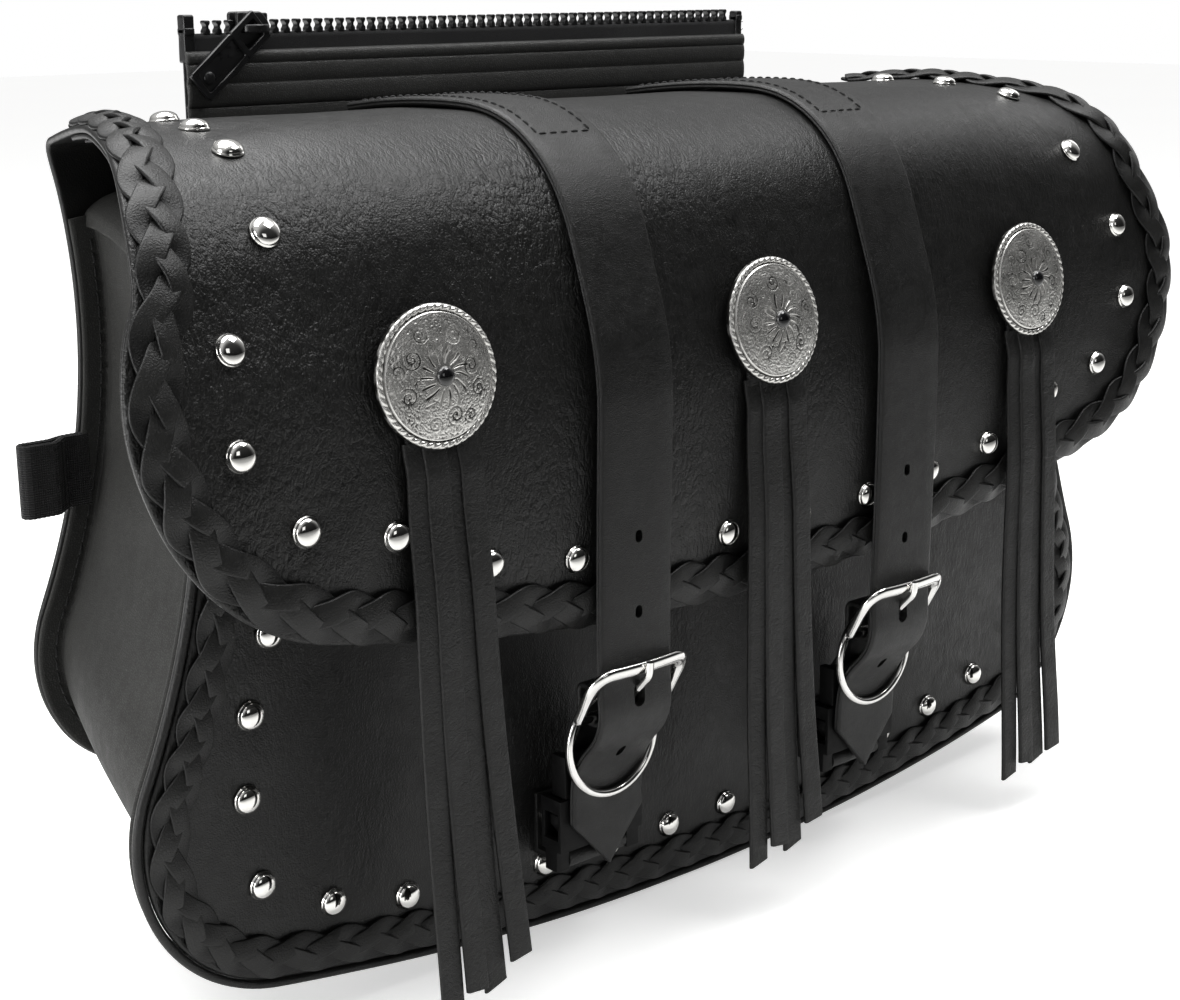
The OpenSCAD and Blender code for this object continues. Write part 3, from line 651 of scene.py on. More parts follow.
class Shader:
    """A material's node tree, built one node at a time. Texture sizes are given in millimetres."""

    def __init__(self, name, colour, roughness, metallic=0.0, specular=0.5, flat=False):
        self.material = bpy.data.materials.new(name)
        self.material.use_nodes = True
        self.tree = self.material.node_tree
        self.surface = self.tree.nodes["Principled BSDF"]
        self.set("Base Color", (*colour, 1))
        self.set("Roughness", roughness)
        self.set("Metallic", metallic)
        self.set("Specular IOR Level", specular)
        self.material.diffuse_color = (*colour, 1)
        self.material.roughness = roughness
        self.material.metallic = metallic
        if flat:
            self.place = self.add("ShaderNodeAttribute", attribute_name="flat").outputs["Vector"]
        else:
            spot = self.add("ShaderNodeTexCoord").outputs["Object"]
            self.place = self.vector("SCALE", spot, Scale=1 / MM)
        self.height = None

    def add(self, kind, inputs=None, **settings):
        return add_node(self.tree, kind, inputs, **settings)

    def set(self, name, value):
        feed(self.surface.inputs[name], value)

    def vector(self, operation, *parts, **inputs):
        keyed = {**dict(enumerate(parts)), **inputs}
        return self.add("ShaderNodeVectorMath", keyed, operation=operation).outputs["Vector"]

    def math(self, operation, *parts, clamp=False):
        keyed = dict(enumerate(parts))
        return self.add("ShaderNodeMath", keyed, operation=operation, use_clamp=clamp).outputs[0]

    def stretched(self, size):
        """The texture place divided by a size for each axis."""
        return self.vector("MULTIPLY", self.place, tuple(1 / part for part in size))

    def noise(self, size, detail=3.0, kind="FBM", place=None, roughness=0.55):
        where = place or self.stretched((size, size, size))
        item = self.add("ShaderNodeTexNoise", {"Vector": where, "Scale": 1.0, "Detail": detail,
                                               "Roughness": roughness}, noise_type=kind)
        return item.outputs["Fac"]

    def cells(self, size, feature="DISTANCE_TO_EDGE", place=None, jitter=1.0):
        where = place or self.stretched((size, size, size))
        item = self.add("ShaderNodeTexVoronoi", {"Vector": where, "Scale": 1.0,
                                                 "Randomness": jitter}, feature=feature)
        return item.outputs["Distance"]

    def attribute(self, name):
        return self.add("ShaderNodeAttribute", attribute_name=name).outputs["Fac"]

    def spread(self, value, low, high, to_low, to_high):
        item = self.add("ShaderNodeMapRange", {"Value": value, "From Min": low, "From Max": high,
                                               "To Min": to_low, "To Max": to_high})
        return item.outputs["Result"]

    def blend(self, share, a, b):
        item = self.add("ShaderNodeMix", {"Factor": share, 6: (*a, 1), 7: (*b, 1)}, data_type="RGBA")
        return item.outputs[2]

    def tint(self, colour, share):
        """The colour, darker where share is low, as in the valleys of a grain."""
        deep = tuple(0.55 * part for part in colour)
        return self.blend(share, deep, colour)

    def bump(self, height, distance, strength=1.0):
        """Adds relief of the given height in millimetres."""
        item = self.add("ShaderNodeBump", {"Height": height, "Distance": distance * MM,
                                           "Strength": strength})
        if self.height is not None:
            feed(item.inputs["Normal"], self.height)
        self.height = item.outputs["Normal"]
        self.set("Normal", self.height)


def leather(name, colour, roughness=0.4, grain=1.0, crinkle=0.0, flat=False, specular=0.4, gap_shading=False):
    """Black grained leather: pebble grain, broad creases where "crinkle" asks and, where asked, painted
    light and shade from the "cavity" attribute.
    """
    s = Shader(name, colour, roughness, specular=specular, flat=flat)
    warp = s.add("ShaderNodeTexNoise", {"Vector": s.stretched((9, 9, 9)), "Scale": 1.0, "Detail": 2})
    wandering = s.vector("MULTIPLY_ADD", warp.outputs["Color"], (3.0, 3.0, 3.0), s.place)
    pebble = s.cells(grain, place=s.vector("SCALE", wandering, Scale=1 / grain))
    pebble = s.spread(pebble, 0.0, 0.35, 0.0, 1.0)
    patches = s.noise(45, 2)
    s.bump(pebble, 0.09, 0.7)
    s.bump(s.noise(2.2 * grain, 4), 0.14, 0.6)
    s.bump(s.noise(11, 2), 0.5, 0.35)
    shade = s.spread(patches, 0.3, 0.7, 0.85, 1.15)
    if crinkle:
        amount = s.attribute("crinkle")
        for size, stretch, share in ((2.3, 0.42, 0.55), (1.3, 0.6, 0.3)):
            where = s.vector("MULTIPLY", wandering, (1 / size, stretch / size, 1 / size))
            creases = s.spread(s.cells(size, place=where), 0.0, 0.3, 0.0, 1.0)
            s.bump(s.math("MULTIPLY", creases, amount), crinkle * share, 1.0)
        for size, share in ((3.6, 1.3), (9.0, 2.2)):
            where = s.vector("MULTIPLY", wandering, (1 / size, 0.4 / size, 1 / size))
            folds = s.noise(1, 5, "RIDGED_MULTIFRACTAL", where, 0.62)
            s.bump(s.math("MULTIPLY", folds, amount), share * crinkle, 0.8)
    # Painted light and shade: colour up to 1.3 times lighter where "cavity" is 0, as on the lace's raised
    # tops, and down to 0.12 where it is 1, in its gaps.
    if gap_shading:
        shade = s.math("MULTIPLY", shade, s.spread(s.attribute("cavity"), 0, 1, 1.3, 0.12))
    tint = s.vector("SCALE", s.tint(colour, pebble), Scale=shade)
    s.set("Base Color", tint)
    s.set("Roughness", s.spread(s.noise(6, 4), 0.3, 0.75, roughness - 0.05, roughness + 0.1))
    return s.material


def metal(name, colour, roughness, wear=0.02):
    """Bright plated metal with faint smears and fine polishing marks."""
    s = Shader(name, colour, roughness, metallic=1.0)
    s.set("Roughness", s.spread(s.noise(4, 4), 0.35, 0.7, roughness, roughness + 4 * wear))
    s.bump(s.noise(1, 2, place=s.stretched((0.25, 2.5, 0.25))), 0.006, 0.3)
    s.bump(s.noise(7, 2), 0.05, 0.15)
    s.set("Base Color", s.tint(colour, s.spread(s.noise(9, 3), 0.25, 0.45, 0.72, 1.0)))
    return s.material


def engraved_silver():
    """Old silver, dark in its engraved lines and bright on the high spots."""
    light = (0.88, 0.87, 0.84)
    s = Shader("concho_silver", light, 0.24, metallic=0.88)
    cavity = s.attribute("cavity")
    grime = s.math("MULTIPLY", cavity, s.spread(s.noise(6, 2), 0.35, 0.6, 0.45, 1.4), clamp=True)
    s.set("Base Color", s.blend(grime, light, (0.03, 0.029, 0.027)))
    s.set("Roughness", s.spread(cavity, 0, 1, 0.26, 0.6))
    s.bump(s.cells(0.55), 0.03, 0.5)
    s.bump(s.noise(1.3, 4), 0.05, 0.4)
    return s.material


def stone():
    """Polished black stone."""
    s = Shader("concho_stone", (0.004, 0.004, 0.005), 0.07, specular=0.7)
    s.set("Coat Weight", 0.6)
    s.bump(s.noise(2.5, 2), 0.04, 0.3)
    s.set("Base Color", s.tint((0.006, 0.006, 0.007), s.noise(1.5, 4)))
    return s.material


def plastic(name, colour, roughness, specular=0.5):
    """Moulded black plastic with a fine spark-eroded texture and faint flow marks."""
    s = Shader(name, colour, roughness, specular=specular)
    s.bump(s.noise(0.35, 3), 0.02, 0.5)
    s.bump(s.noise(5, 2), 0.12, 0.25)
    s.set("Roughness", s.spread(s.noise(3, 4), 0.3, 0.7, roughness - 0.06, roughness + 0.1))
    s.set("Base Color", s.tint(colour, s.spread(s.noise(8, 3), 0.3, 0.6, 0.6, 1.0)))
    return s.material


def weave(name, colour, pitch, depth=0.25, roughness=0.85):
    """Woven black thread: over and under in both directions."""
    s = Shader(name, colour, roughness, specular=0.25)
    axes = s.add("ShaderNodeSeparateXYZ", {"Vector": s.stretched((pitch, pitch, pitch))})
    turns = [s.math("SINE", s.math("MULTIPLY", axes.outputs[k], 2 * math.pi)) for k in range(3)]
    warp = s.math("MULTIPLY", turns[0], turns[2])
    side = s.math("MULTIPLY", turns[1], turns[2])
    thread = s.math("MAXIMUM", s.math("ABSOLUTE", warp), s.math("ABSOLUTE", side))
    s.bump(thread, depth, 0.8)
    s.bump(s.noise(0.4, 3), 0.06, 0.6)
    s.set("Base Color", s.tint(colour, thread))
    s.set("Sheen Weight", 0.15)
    s.set("Sheen Roughness", 0.5)
    return s.material


def board():
    """Grey-brown pressed fibre board."""
    s = Shader("board", (0.16, 0.12, 0.075), 0.85, specular=0.2)
    fibres = s.noise(1, 5, place=s.stretched((6, 6, 1.2)))
    s.bump(fibres, 0.15, 0.6)
    s.set("Base Color", s.tint((0.20, 0.155, 0.10), s.spread(fibres, 0.3, 0.7, 0, 1)))
    return s.material


def floor_material():
    """Pale paper, glowing white where the camera sees it; to other rays it glows behind the bag as a fill
    light and is painted darker in front of it.
    """
    s = Shader("pale_floor", (0.86, 0.86, 0.85), 0.65, specular=0.2)
    seen = s.add("ShaderNodeLightPath").outputs["Is Camera Ray"]
    axes = s.add("ShaderNodeSeparateXYZ", {"Vector": s.place})
    pale = s.blend(s.noise(400, 3), (0.84, 0.84, 0.83), (0.88, 0.88, 0.87))
    # Painted shade: for all but camera rays the floor's colour falls to 0.35 in front of the bag.
    dim = s.spread(axes.outputs["Y"], -700, -180, 0.35, 1.0)
    s.set("Base Color", s.vector("SCALE", pale, Scale=s.math("MAXIMUM", seen, dim)))
    s.set("Emission Color", (1, 1, 1, 1))
    # Glow: behind the bag the floor emits light to all rays, brightening the bag and its reflections.
    behind = s.spread(axes.outputs["Y"], -300, 500, 0.0, 0.6)
    s.set("Emission Strength", s.math("MAXIMUM", s.math("MULTIPLY", seen, 0.5), behind))
    s.bump(s.noise(30, 3), 0.15, 0.2)
    return s.material


SKIN_BLACK = (0.0095, 0.0095, 0.0091)
BODY = leather("body_leather", SKIN_BLACK, 0.38, 0.9, crinkle=0.29, flat=True)
# Side leather: rougher and less glossy than the body's; its colour, about four times the body's, is partly
# painted light that makes the sides read as lit.
PLAIN = leather("side_leather", (0.042, 0.042, 0.040), 0.6, 0.8, specular=0.14)
ZIP_LEATHER = leather("zip_leather", (0.05, 0.05, 0.048), 0.42, 0.8)
TRIM = leather("trim_leather", (0.0100, 0.0100, 0.0096), 0.46, 1.2)
# The lace carries painted shade in its gaps and painted light on its raised tops.
LACE = leather("lace_leather", (0.0115, 0.0115, 0.011), 0.42, 0.9, gap_shading=True)
STRAP = leather("strap_leather", (0.0100, 0.0100, 0.0096), 0.40, 0.7)
FRINGE = leather("fringe_leather", (0.0098, 0.0098, 0.0094), 0.46, 0.8, crinkle=0.2)
CHROME = metal("buckle_chrome", (0.90, 0.89, 0.87), 0.06)
STUD_M = metal("stud_chrome", (0.92, 0.91, 0.88), 0.045)
SILVER = engraved_silver()
STONE = stone()
WEBBING = weave("webbing", (0.010, 0.010, 0.0105), 1.6, 0.7)
TAPE = weave("zip_tape", (0.011, 0.011, 0.012), 0.55, 0.15)
LINING = weave("lining", (0.018, 0.018, 0.020), 0.7, 0.12)
THREAD = weave("thread", (0.002, 0.002, 0.002), 0.35, 0.1, 0.6)
ZIP_PLASTIC = plastic("zip_plastic", (0.008, 0.008, 0.0085), 0.30)
CLIP_PLASTIC = plastic("clip_plastic", (0.002, 0.002, 0.0021), 0.55, 0.2)
BOARD = board()


# ---------------------------------------------------------------- back and lid


def flat_of(piece):
    """The flat coordinates that slab() kept for each vertex."""
    values = np.zeros(len(piece.data.vertices) * 3, np.float32)
    piece.data.attributes["flat"].data.foreach_get("vector", values)
    return values.reshape(-1, 3)


def crinkles(flat):
    """How creased the leather is: most at the left shoulder, least on the back."""
    x, s = flat[:, 0], flat[:, 1]
    bend = smooth(s, S_HINGE + 84, S_HINGE + 118) * (1 - 0.6 * smooth(s, S_HINGE + 190, S_HINGE + 290))
    left = 1 - 0.8 * smooth(x, -90, 90)
    patches = np.clip(0.8 + 0.9 * soft_noise(x, s, 42, 21.5), 0.1, 1.4)
    return np.clip(0.04 + 0.1 * bend + bend * left * patches, 0.03, 1.3)


def back_and_lid():
    """The one sheet of leather that is the back and, past the fold, the lid."""
    piece = slab("back_and_lid_leather", sheet_edges, on_sheet, LEATHER_T, 0.0, 2.2, BODY)
    store(piece, "crinkle", crinkles(flat_of(piece)))
    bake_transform(piece)
    finish(piece, None, "body_leather", "back_panel", "lid_leather")


def lid_layers():
    """The lid's board and lining, and the leather turned in round its edge."""
    depth = LEATHER_T + SKIN
    stiffener = slab("lid_board", lambda d: lid_edges(d, -39.0), on_sheet, BOARD_T, depth, 6,
                     BOARD, 9)
    finish(stiffener, "lid", "board", "lid_board")
    depth += BOARD_T + SKIN
    cloth = slab("lid_lining", lambda d: lid_edges(d, -37.0), on_sheet, LINING_T, depth, 4,
                 LINING, 5)
    finish(cloth, "lid", "lining", "lid_lining")
    path = soften(lid_border(4.8, -38.0), 4)
    points, normals = face_and_normal(on_sheet, path)
    points = points - normals * (LEATHER_T + 1.0)
    turned = new_piece("lid_turned_edge", *ribbon(points, normals, band(8.0, 1.5)), TRIM)
    finish(turned, "lid", "trim_leather")


def braid(name, path, place, width, lobe, strand_w, strand_t):
    """Three flat strands plaited along a border, one leaf-shaped lobe every lobe on each side."""
    centre, normal = face_and_normal(place, spaced(path, 0.9))
    along = lengths(centre)
    across = unit(np.cross(tangents(centre), normal))
    rounds = round(along[-1] / (3 * lobe))
    uneven = 0.5 * soft_noise(along, along * 0, 45, 4.5)
    sway = (width - strand_w) / 2
    rise = 0.75 * strand_t
    strands, depths = [], []
    for k in range(3):
        turn = 2 * math.pi * (rounds * along / along[-1] + k / 3) + uneven
        out, over = np.sin(turn - 0.10 * np.sin(2 * turn)), np.cos(2 * turn - math.pi / 3)
        height = rise * (1 + over) + strand_t / 2
        line = centre + across * (sway * out)[:, None] + normal * height[:, None]
        lean = 0.16 * out + 0.20 * np.cos(turn)
        facing = normal * np.cos(lean)[:, None] + across * np.sin(lean)[:, None]
        section = np.tile(band(strand_w, strand_t, 0.2), (len(line), 1, 1))
        swell = 0.93 + 0.08 * soft_noise(along, out, 9, k + 0.5)
        section[:, :, 0] *= swell[:, None]
        strands.append(ribbon(line, facing, section))
        # Painted shade, stored as "cavity": high where a strand dips under another and along each strand's
        # edges.
        edge = np.abs(band(strand_w, strand_t)[:, 0]) / (strand_w / 2)
        depths.append(0.9 * smooth(-over, 0.0, 0.8)[:, None] + smooth(edge, 0.8, 1.0)[None])
    piece = new_piece(name, *merge(*strands), LACE)
    store(piece, "cavity", np.clip(np.concatenate([depth.ravel() for depth in depths]), 0, 1))
    return piece


def braids():
    """The plaited borders of the lid and the front panel."""
    lid = braid("lid_braid", soften(lid_border(8.8, -30.0), 9), on_sheet, 17.5, 17.0, 8.0, 1.4)
    finish(lid, "lid", "trim_leather", "lid_braid")
    outline = whole(pouch_base(7.6), pouch_side(7.6, MOUTH_Z - 30))
    front = braid("front_braid", outline, on_front, 14.5, 14.5, 6.8, 1.2)
    finish(front, "pouch", "trim_leather", "front_braid")


# ---------------------------------------------------------------- pouch


def front_shape(inset):
    """Edges of the front panel."""
    return edges(pouch_base(inset), pouch_side(inset, MOUTH_Z))


def back_shape(inset):
    """Edges of the back's inner layers."""
    return edges(shrink(pouch_base(inset), BACK_SHARE), shrink(pouch_side(inset, MOUTH_Z - 8),
                                                              BACK_SHARE))


def panels():
    """The front panel, and the boards and linings of front and back."""
    piece = slab("front_panel", front_shape, on_front, LEATHER_T, 0.0, 2.6, BODY)
    flat = flat_of(piece)
    soft = 0.25 + 0.4 * soft_noise(flat[:, 0], flat[:, 1], 50, 8.5)
    store(piece, "crinkle", np.clip(soft, 0.05, 0.6))
    finish(piece, "pouch", "body_leather", "front_panel")
    depth = LEATHER_T + SKIN
    inner = depth + BOARD_T + SKIN
    for name, place, shape in (("front", on_front, front_shape), ("back", on_back, back_shape)):
        stiffener = slab(name + "_board", shape, place, BOARD_T, depth, 6, BOARD, FLANGE + 5.5)
        finish(stiffener, "pouch", "board", name + "_board")
        cloth = slab(name + "_lining", shape, place, LINING_T, inner, 5, LINING, FLANGE + 5.0)
        finish(cloth, "pouch", "lining", name + "_lining")


OUTLINE = spaced(whole(pouch_base(0), pouch_side(0, MOUTH_Z + 8)), 1.0)
OUTLINE_Q = lengths(OUTLINE) - lengths(OUTLINE)[-1] / 2
OUTLINE_OUT = tangents(OUTLINE)[:, ::-1] * [1, -1]
GUSSET_T = 2.2
GUSSET_FRONT = FRONT_Y + LEATHER_T + SKIN
GUSSET_BACK = -LEATHER_T - SKIN


def on_outline(q, inset, y):
    """Points of the pouch's wall: q along its outline, inset from it, y from front to back."""
    share = BACK_SHARE + (1 - BACK_SHARE) * (GUSSET_BACK - y) / (GUSSET_BACK - GUSSET_FRONT)
    flat = [np.interp(q, OUTLINE_Q, OUTLINE[:, k]) - inset * np.interp(q, OUTLINE_Q,
                                                                     OUTLINE_OUT[:, k])
            for k in (0, 1)]
    return np.stack([share * flat[0], y, TOP_Z + share * (flat[1] - TOP_Z)], -1)


def seam_z(y):
    """Height where the gusset's top piece is sewn on; it climbs towards the back."""
    return 76 + 24 * smooth(-y, 118, 4)


def wall_end(y):
    """Place along the outline where the wall reaches the seam."""
    share = BACK_SHARE + (1 - BACK_SHARE) * (GUSSET_BACK - y) / (GUSSET_BACK - GUSSET_FRONT)
    height = TOP_Z + (seam_z(y) - TOP_Z) / share
    right = OUTLINE_Q > 300
    return np.interp(height, OUTLINE[right, 1], OUTLINE_Q[right])


def wall_swell(q, v):
    """How far the gusset swells past its seams: full at the low corners, hollow at the waist."""
    low = np.interp(q, OUTLINE_Q, OUTLINE[:, 1])
    full = 3.6 * (1 - smooth(low, -95, 10)) - 2.2 * smooth(low, -20, 40)
    wave = 0.9 * soft_noise(q, 60 * v, 70, 14.5) + 0.4 * soft_noise(q, 60 * v, 24, 9.5)
    return (full + wave) * np.sin(math.pi * v) ** 0.6


def gusset():
    """The channel-shaped wall: two flanges sewn to the panels and the leather between them."""
    body_y = np.linspace(GUSSET_BACK - 3.2, GUSSET_FRONT + 3.2, 34)
    body = np.full(len(body_y), FLANGE - 0.4)
    lip = np.array([0.9, 0.45, 0.2, 0.45, 0.9]) + 0.6
    lip_y = np.linspace(0.1, 2.0, 5)
    flange = np.linspace(3, FLANGE - 1.2, 5)
    outer_inset = np.concatenate([lip, flange, [FLANGE + 0.9], body, [FLANGE + 0.9],
                                  flange[::-1], lip[::-1]])
    outer_y = np.concatenate([GUSSET_BACK - lip_y, 0 * flange + GUSSET_BACK - 2.0,
                              [GUSSET_BACK - 2.4], body_y, [GUSSET_FRONT + 2.4],
                              0 * flange + GUSSET_FRONT + 2.0, GUSSET_FRONT + lip_y[::-1]])
    inner_inset = np.concatenate([[FLANGE, FLANGE + GUSSET_T], body + GUSSET_T,
                                  [FLANGE + GUSSET_T, FLANGE]])
    inner_y = np.concatenate([[GUSSET_FRONT + 0.1, GUSSET_FRONT + 1], body_y[::-1],
                              [GUSSET_BACK - 1, GUSSET_BACK - 0.1]])
    inset, y = np.r_[outer_inset, inner_inset], np.r_[outer_y, inner_y]
    tau = np.linspace(-1, 1, 300)[:, None]
    q = tau * wall_end(y)[None]
    share = np.clip((y - body_y[0]) / (body_y[-1] - body_y[0]), 0, 1)
    swell = wall_swell(q, np.broadcast_to(share, q.shape))
    points = on_outline(q, inset[None] - swell, np.broadcast_to(y, q.shape))
    rows, columns = q.shape
    faces = quads(rows, columns, 0, False, True)
    faces += [list(range(columns)), [(rows - 1) * columns + k for k in range(columns)]]
    finish(new_piece("gusset", points, faces, PLAIN), "pouch", "body_leather", "gusset")


def shell(grid, thickness):
    """A closed sheet from a grid of points of its outer face."""
    du, dv = np.gradient(grid, axis=1), np.gradient(grid, axis=0)
    inner = grid - thickness * unit(np.cross(du, dv))
    rows, columns = grid.shape[:2]
    count = rows * columns
    ring = border(np.arange(count).reshape(rows, columns))
    faces = quads(rows, columns) + quads(rows, columns, count)
    faces += np.column_stack([ring, np.roll(ring, -1), np.roll(ring, -1) + count,
                              ring + count]).tolist()
    return np.concatenate([grid.reshape(-1, 3), inner.reshape(-1, 3)]), faces


def gusset_tops():
    """The soft pieces that close the wall's top ends and roll in over the opening."""
    roll = soften(np.array([[-1.2, -4.0], [-1.2, 0.0], [1.5, 8], [5, 15], [10, 20], [17, 22],
                            [25, 20], [32, 15]]), 5)
    y = np.linspace(GUSSET_FRONT + 1.0, GUSSET_BACK - 1.0, 50)[:, None]
    v = np.broadcast_to((GUSSET_BACK - y) / (GUSSET_BACK - GUSSET_FRONT), (50, 1))
    foot = on_outline(wall_end(y), FLANGE - 0.4 - wall_swell(wall_end(y), 1 - v), y)
    rise = (MOUTH_Z - 2 - seam_z(y)) / 22
    tuck = 1 - 0.25 * np.sin(math.pi * v)
    wave = 0.9 * soft_noise(y + 0 * roll[:, 0], roll[:, 1] + 0 * y, 30, 6.5)
    for side, sign in SIDES.items():
        x = foot[..., 0] - roll[:, 0] * tuck + wave
        z = foot[..., 2] + roll[:, 1] * np.where(roll[:, 1] > 0, rise, 1)
        grid = np.stack([sign * x, y + 0 * x, z + 0.5 * wave], -1)
        if sign < 0:
            grid = grid[::-1]
        piece = new_piece("gusset_top_" + side, *shell(grid, 1.6), PLAIN)
        finish(piece, "pouch", "body_leather")


def piping():
    """The rolled bead round the front panel, and the darker one sewn in behind it."""
    for name, out, y, radius, material, nodes in (
            ("front_piping", 1.7, FRONT_Y + 1.3, 1.5, TRIM, ["front_piping"]),
            ("gusset_bead", 0.6, GUSSET_FRONT + 3.2, 1.2, PLAIN, [])):
        line = spaced(whole(pouch_base(-out), pouch_side(-out, MOUTH_Z - 6)), 2.5)
        wave = 0.3 * soft_noise(line[:, 0], line[:, 1], 30, 3.5)
        points = np.column_stack([line[:, 0], y + wave, line[:, 1]])
        piece = new_piece(name, *tube(points, radius, 12), material)
        finish(piece, "pouch", "trim_leather", *nodes)


def base_stiffener():
    """The board on the floor of the pouch, curved as the wall is."""
    q = np.linspace(-150, 150, 90)[:, None]
    y = np.linspace(GUSSET_FRONT + 8, GUSSET_BACK - 10, 30)[None]
    grid = on_outline(q + 0 * y, FLANGE + GUSSET_T + 1.2 + 0 * (q + y), y + 0 * q)
    piece = new_piece("base_board", *shell(grid, BOARD_T), BOARD)
    finish(piece, "pouch", "board", "base_board")


# ---------------------------------------------------------------- studs and stitches

STUD_R = 4.7
STUD = lathe([(STUD_R - 0.3, -0.3), (STUD_R, 0.15), (STUD_R, 0.5), (STUD_R - 0.25, 0.7)]
             + [((STUD_R - 0.35) * math.cos(a), 0.75 + 2.45 * math.sin(a) ** 0.9)
                for a in np.radians([4, 14, 26, 38, 50, 62, 73, 82, 87.5])])


def studs():
    """Dome studs, each a little out of true, at the CAD studs' places."""
    for name, place, flat, body in (("lid_studs", on_sheet, LID_STUDS_FLAT, "lid"),
                                    ("front_studs", on_front, FRONT_STUDS, "pouch")):
        points, normals = face_and_normal(place, flat)
        tilt = np.array([[0.05 * math.sin(7 * k), 0.04 * math.cos(5 * k), 0.05 * math.sin(3 * k)]
                         for k in range(len(flat))])
        piece = new_piece(name, *scatter(STUD, points + normals * 0.45, unit(normals + tilt)), STUD_M)
        finish(piece, body, "stud_chrome", name)


def stitches(name, points, normals, body, length=3.1, gap=1.0, radius=0.38):
    """A row of thread stitches along a path, each dipping into the leather at its ends."""
    along = lengths(points)
    count = int((along[-1] + gap) / (length + gap))
    t = np.linspace(-1, 1, 7)
    shapes = []
    for k in range(count):
        middle = (k + 0.5) * along[-1] / count
        places = middle + t * length / 2
        line = np.column_stack([np.interp(places, along, c) for c in points.T])
        normal = np.column_stack([np.interp(places, along, c) for c in normals.T])
        line = line + normal * (radius * (0.75 - 1.6 * t ** 4))[:, None]
        section = circle(radius, 7)[None] * (1 - 0.35 * t ** 4)[:, None, None]
        shapes.append(ribbon(line, normal, section))
    piece = new_piece(name, *merge(*shapes), THREAD)
    finish(piece, body, "lining")


def gusset_stitches():
    """The thread that holds the gusset's flange to the back."""
    q = np.linspace(-wall_end(-5.0) + 8, wall_end(-5.0) - 8, 500)
    y = GUSSET_BACK - 2.15
    points = on_outline(q, FLANGE - 3.0 + 0 * q, y + 0 * q)
    stitches("back_seam_stitches", points, np.tile([0, -1.0, 0], (len(q), 1)), "pouch", 3.4, 1.1, 0.3)


# ---------------------------------------------------------------- conchos and fringes

STONE_R = 3.0
ROPE_R = 19.9


def engraving(radius, turn):
    """Depth, from 0 to 1, of generic leaves and scrolls cut round the stone."""
    x, y = radius * np.cos(turn), radius * np.sin(turn)
    wander = soft_noise(x, y, 5.0, 3.5)
    reach = 8.0 + 2.2 * wander
    petals = np.abs(np.sin(7 * turn + 0.3 * radius + 1.2 * wander)) ** 0.6
    burst = smooth(radius, 3.4, 4.4) * (1 - smooth(radius, reach, reach + 1.4))
    cut = burst * smooth(1 - petals, 0.25, 0.7)
    scrolls = 0 * radius
    for k in range(11):
        angle, middle, size = 2.4 * k + 0.4, 10.5 + 5.0 * (k / 11) ** 0.7, 3.6 - 1.0 * math.sin(3 * k) ** 2
        dx, dy = x - middle * math.cos(angle), y - middle * math.sin(angle)
        away, around = np.hypot(dx, dy), np.arctan2(dy, dx)
        curl = np.cos(2 * math.pi * away / (size / 2.1) - (-1) ** k * (around - angle))
        scrolls = np.maximum(scrolls, smooth(curl, 0.35, 0.95) * (1 - smooth(away, size * 0.8, size)))
    swirl = 9.0 * wander + 5.0 * soft_noise(x, y, 2.3, 8.5) + 0.5 * radius
    lines = smooth(1 - np.abs(np.sin(math.pi * swirl)), 0.3, 0.85) * smooth(radius, reach - 2, reach)
    cut = np.maximum(cut, np.where(scrolls > 0.15, 0.9 * scrolls, 0.75 * lines))
    return np.clip(cut * (1 - smooth(radius, 17.8, 18.4)), 0, 1)


def concho_shape():
    """One concho as points, faces and how deep each point lies in the engraving."""
    radii = np.concatenate([np.linspace(2.2, 18.5, 70), np.linspace(18.7, CONCHO_R, 15)])
    turn = np.linspace(0, 2 * math.pi, 300, endpoint=False)
    r, a = np.meshgrid(radii, turn, indexing="ij")
    cut = engraving(r, a) * (r < 18.4)
    height = 1.3 + 3.6 * (1 - (r / CONCHO_R) ** 2) - 0.26 * cut
    strand = np.sqrt(np.clip(1 - ((r - ROPE_R) / 1.15) ** 2, 0, 1))
    twist = 0.62 + 0.38 * np.abs(np.sin(24 * a + 1.1 * (r - ROPE_R)))
    rope = 0.75 + 1.25 * strand * twist
    height = np.where(r > 18.6, rope, height)
    cavity = np.where(r > 18.6, 1 - smooth(strand * twist, 0.25, 0.7), cut)
    top = np.stack([r * np.cos(a), r * np.sin(a), height], -1).reshape(-1, 3)
    rows, columns = r.shape
    under = top.copy()
    under[:, 2] = np.minimum(top[:, 2] - 0.8, 1.0 + 2.6 * (1 - (r.ravel() / CONCHO_R) ** 2))
    under[-columns:, 2] = 0.0
    count = rows * columns
    faces = quads(rows, columns, 0, False, True) + quads(rows, columns, count, False, True)
    for ring in (np.arange(columns), np.arange(columns) + count - columns):
        faces += np.column_stack([ring, np.roll(ring, -1), np.roll(ring, -1) + count,
                                  ring + count]).tolist()
    return np.vstack([top, under]), faces, np.tile(cavity.ravel(), 2)


def conchos():
    """The three silver discs and the black stones set in them."""
    points, normals = face_and_normal(on_sheet, CONCHOS_FLAT)
    seat = points + normals * (HEAD_T + 0.5)
    shape, faces, cavity = concho_shape()
    spin = [unit(np.array([math.sin(a), 0.1, math.cos(a)])) for a in (0.2, -0.35, 0.6)]
    piece = new_piece("conchos", *scatter((shape, faces), seat, normals, spin), SILVER)
    store(piece, "cavity", np.tile(cavity, len(seat)))
    finish(piece, "lid", "concho_silver", "conchos")
    gem = lathe([(STONE_R, 0), (STONE_R, 0.8)]
                + [(STONE_R * math.cos(a), 0.8 + 1.7 * math.sin(a))
                   for a in np.radians([12, 28, 44, 60, 74, 85])], 24)
    stones = new_piece("concho_stones", *scatter(gem, seat + normals * 4.4, normals), STONE)
    finish(stones, "lid", "concho_stone", "concho_stones")


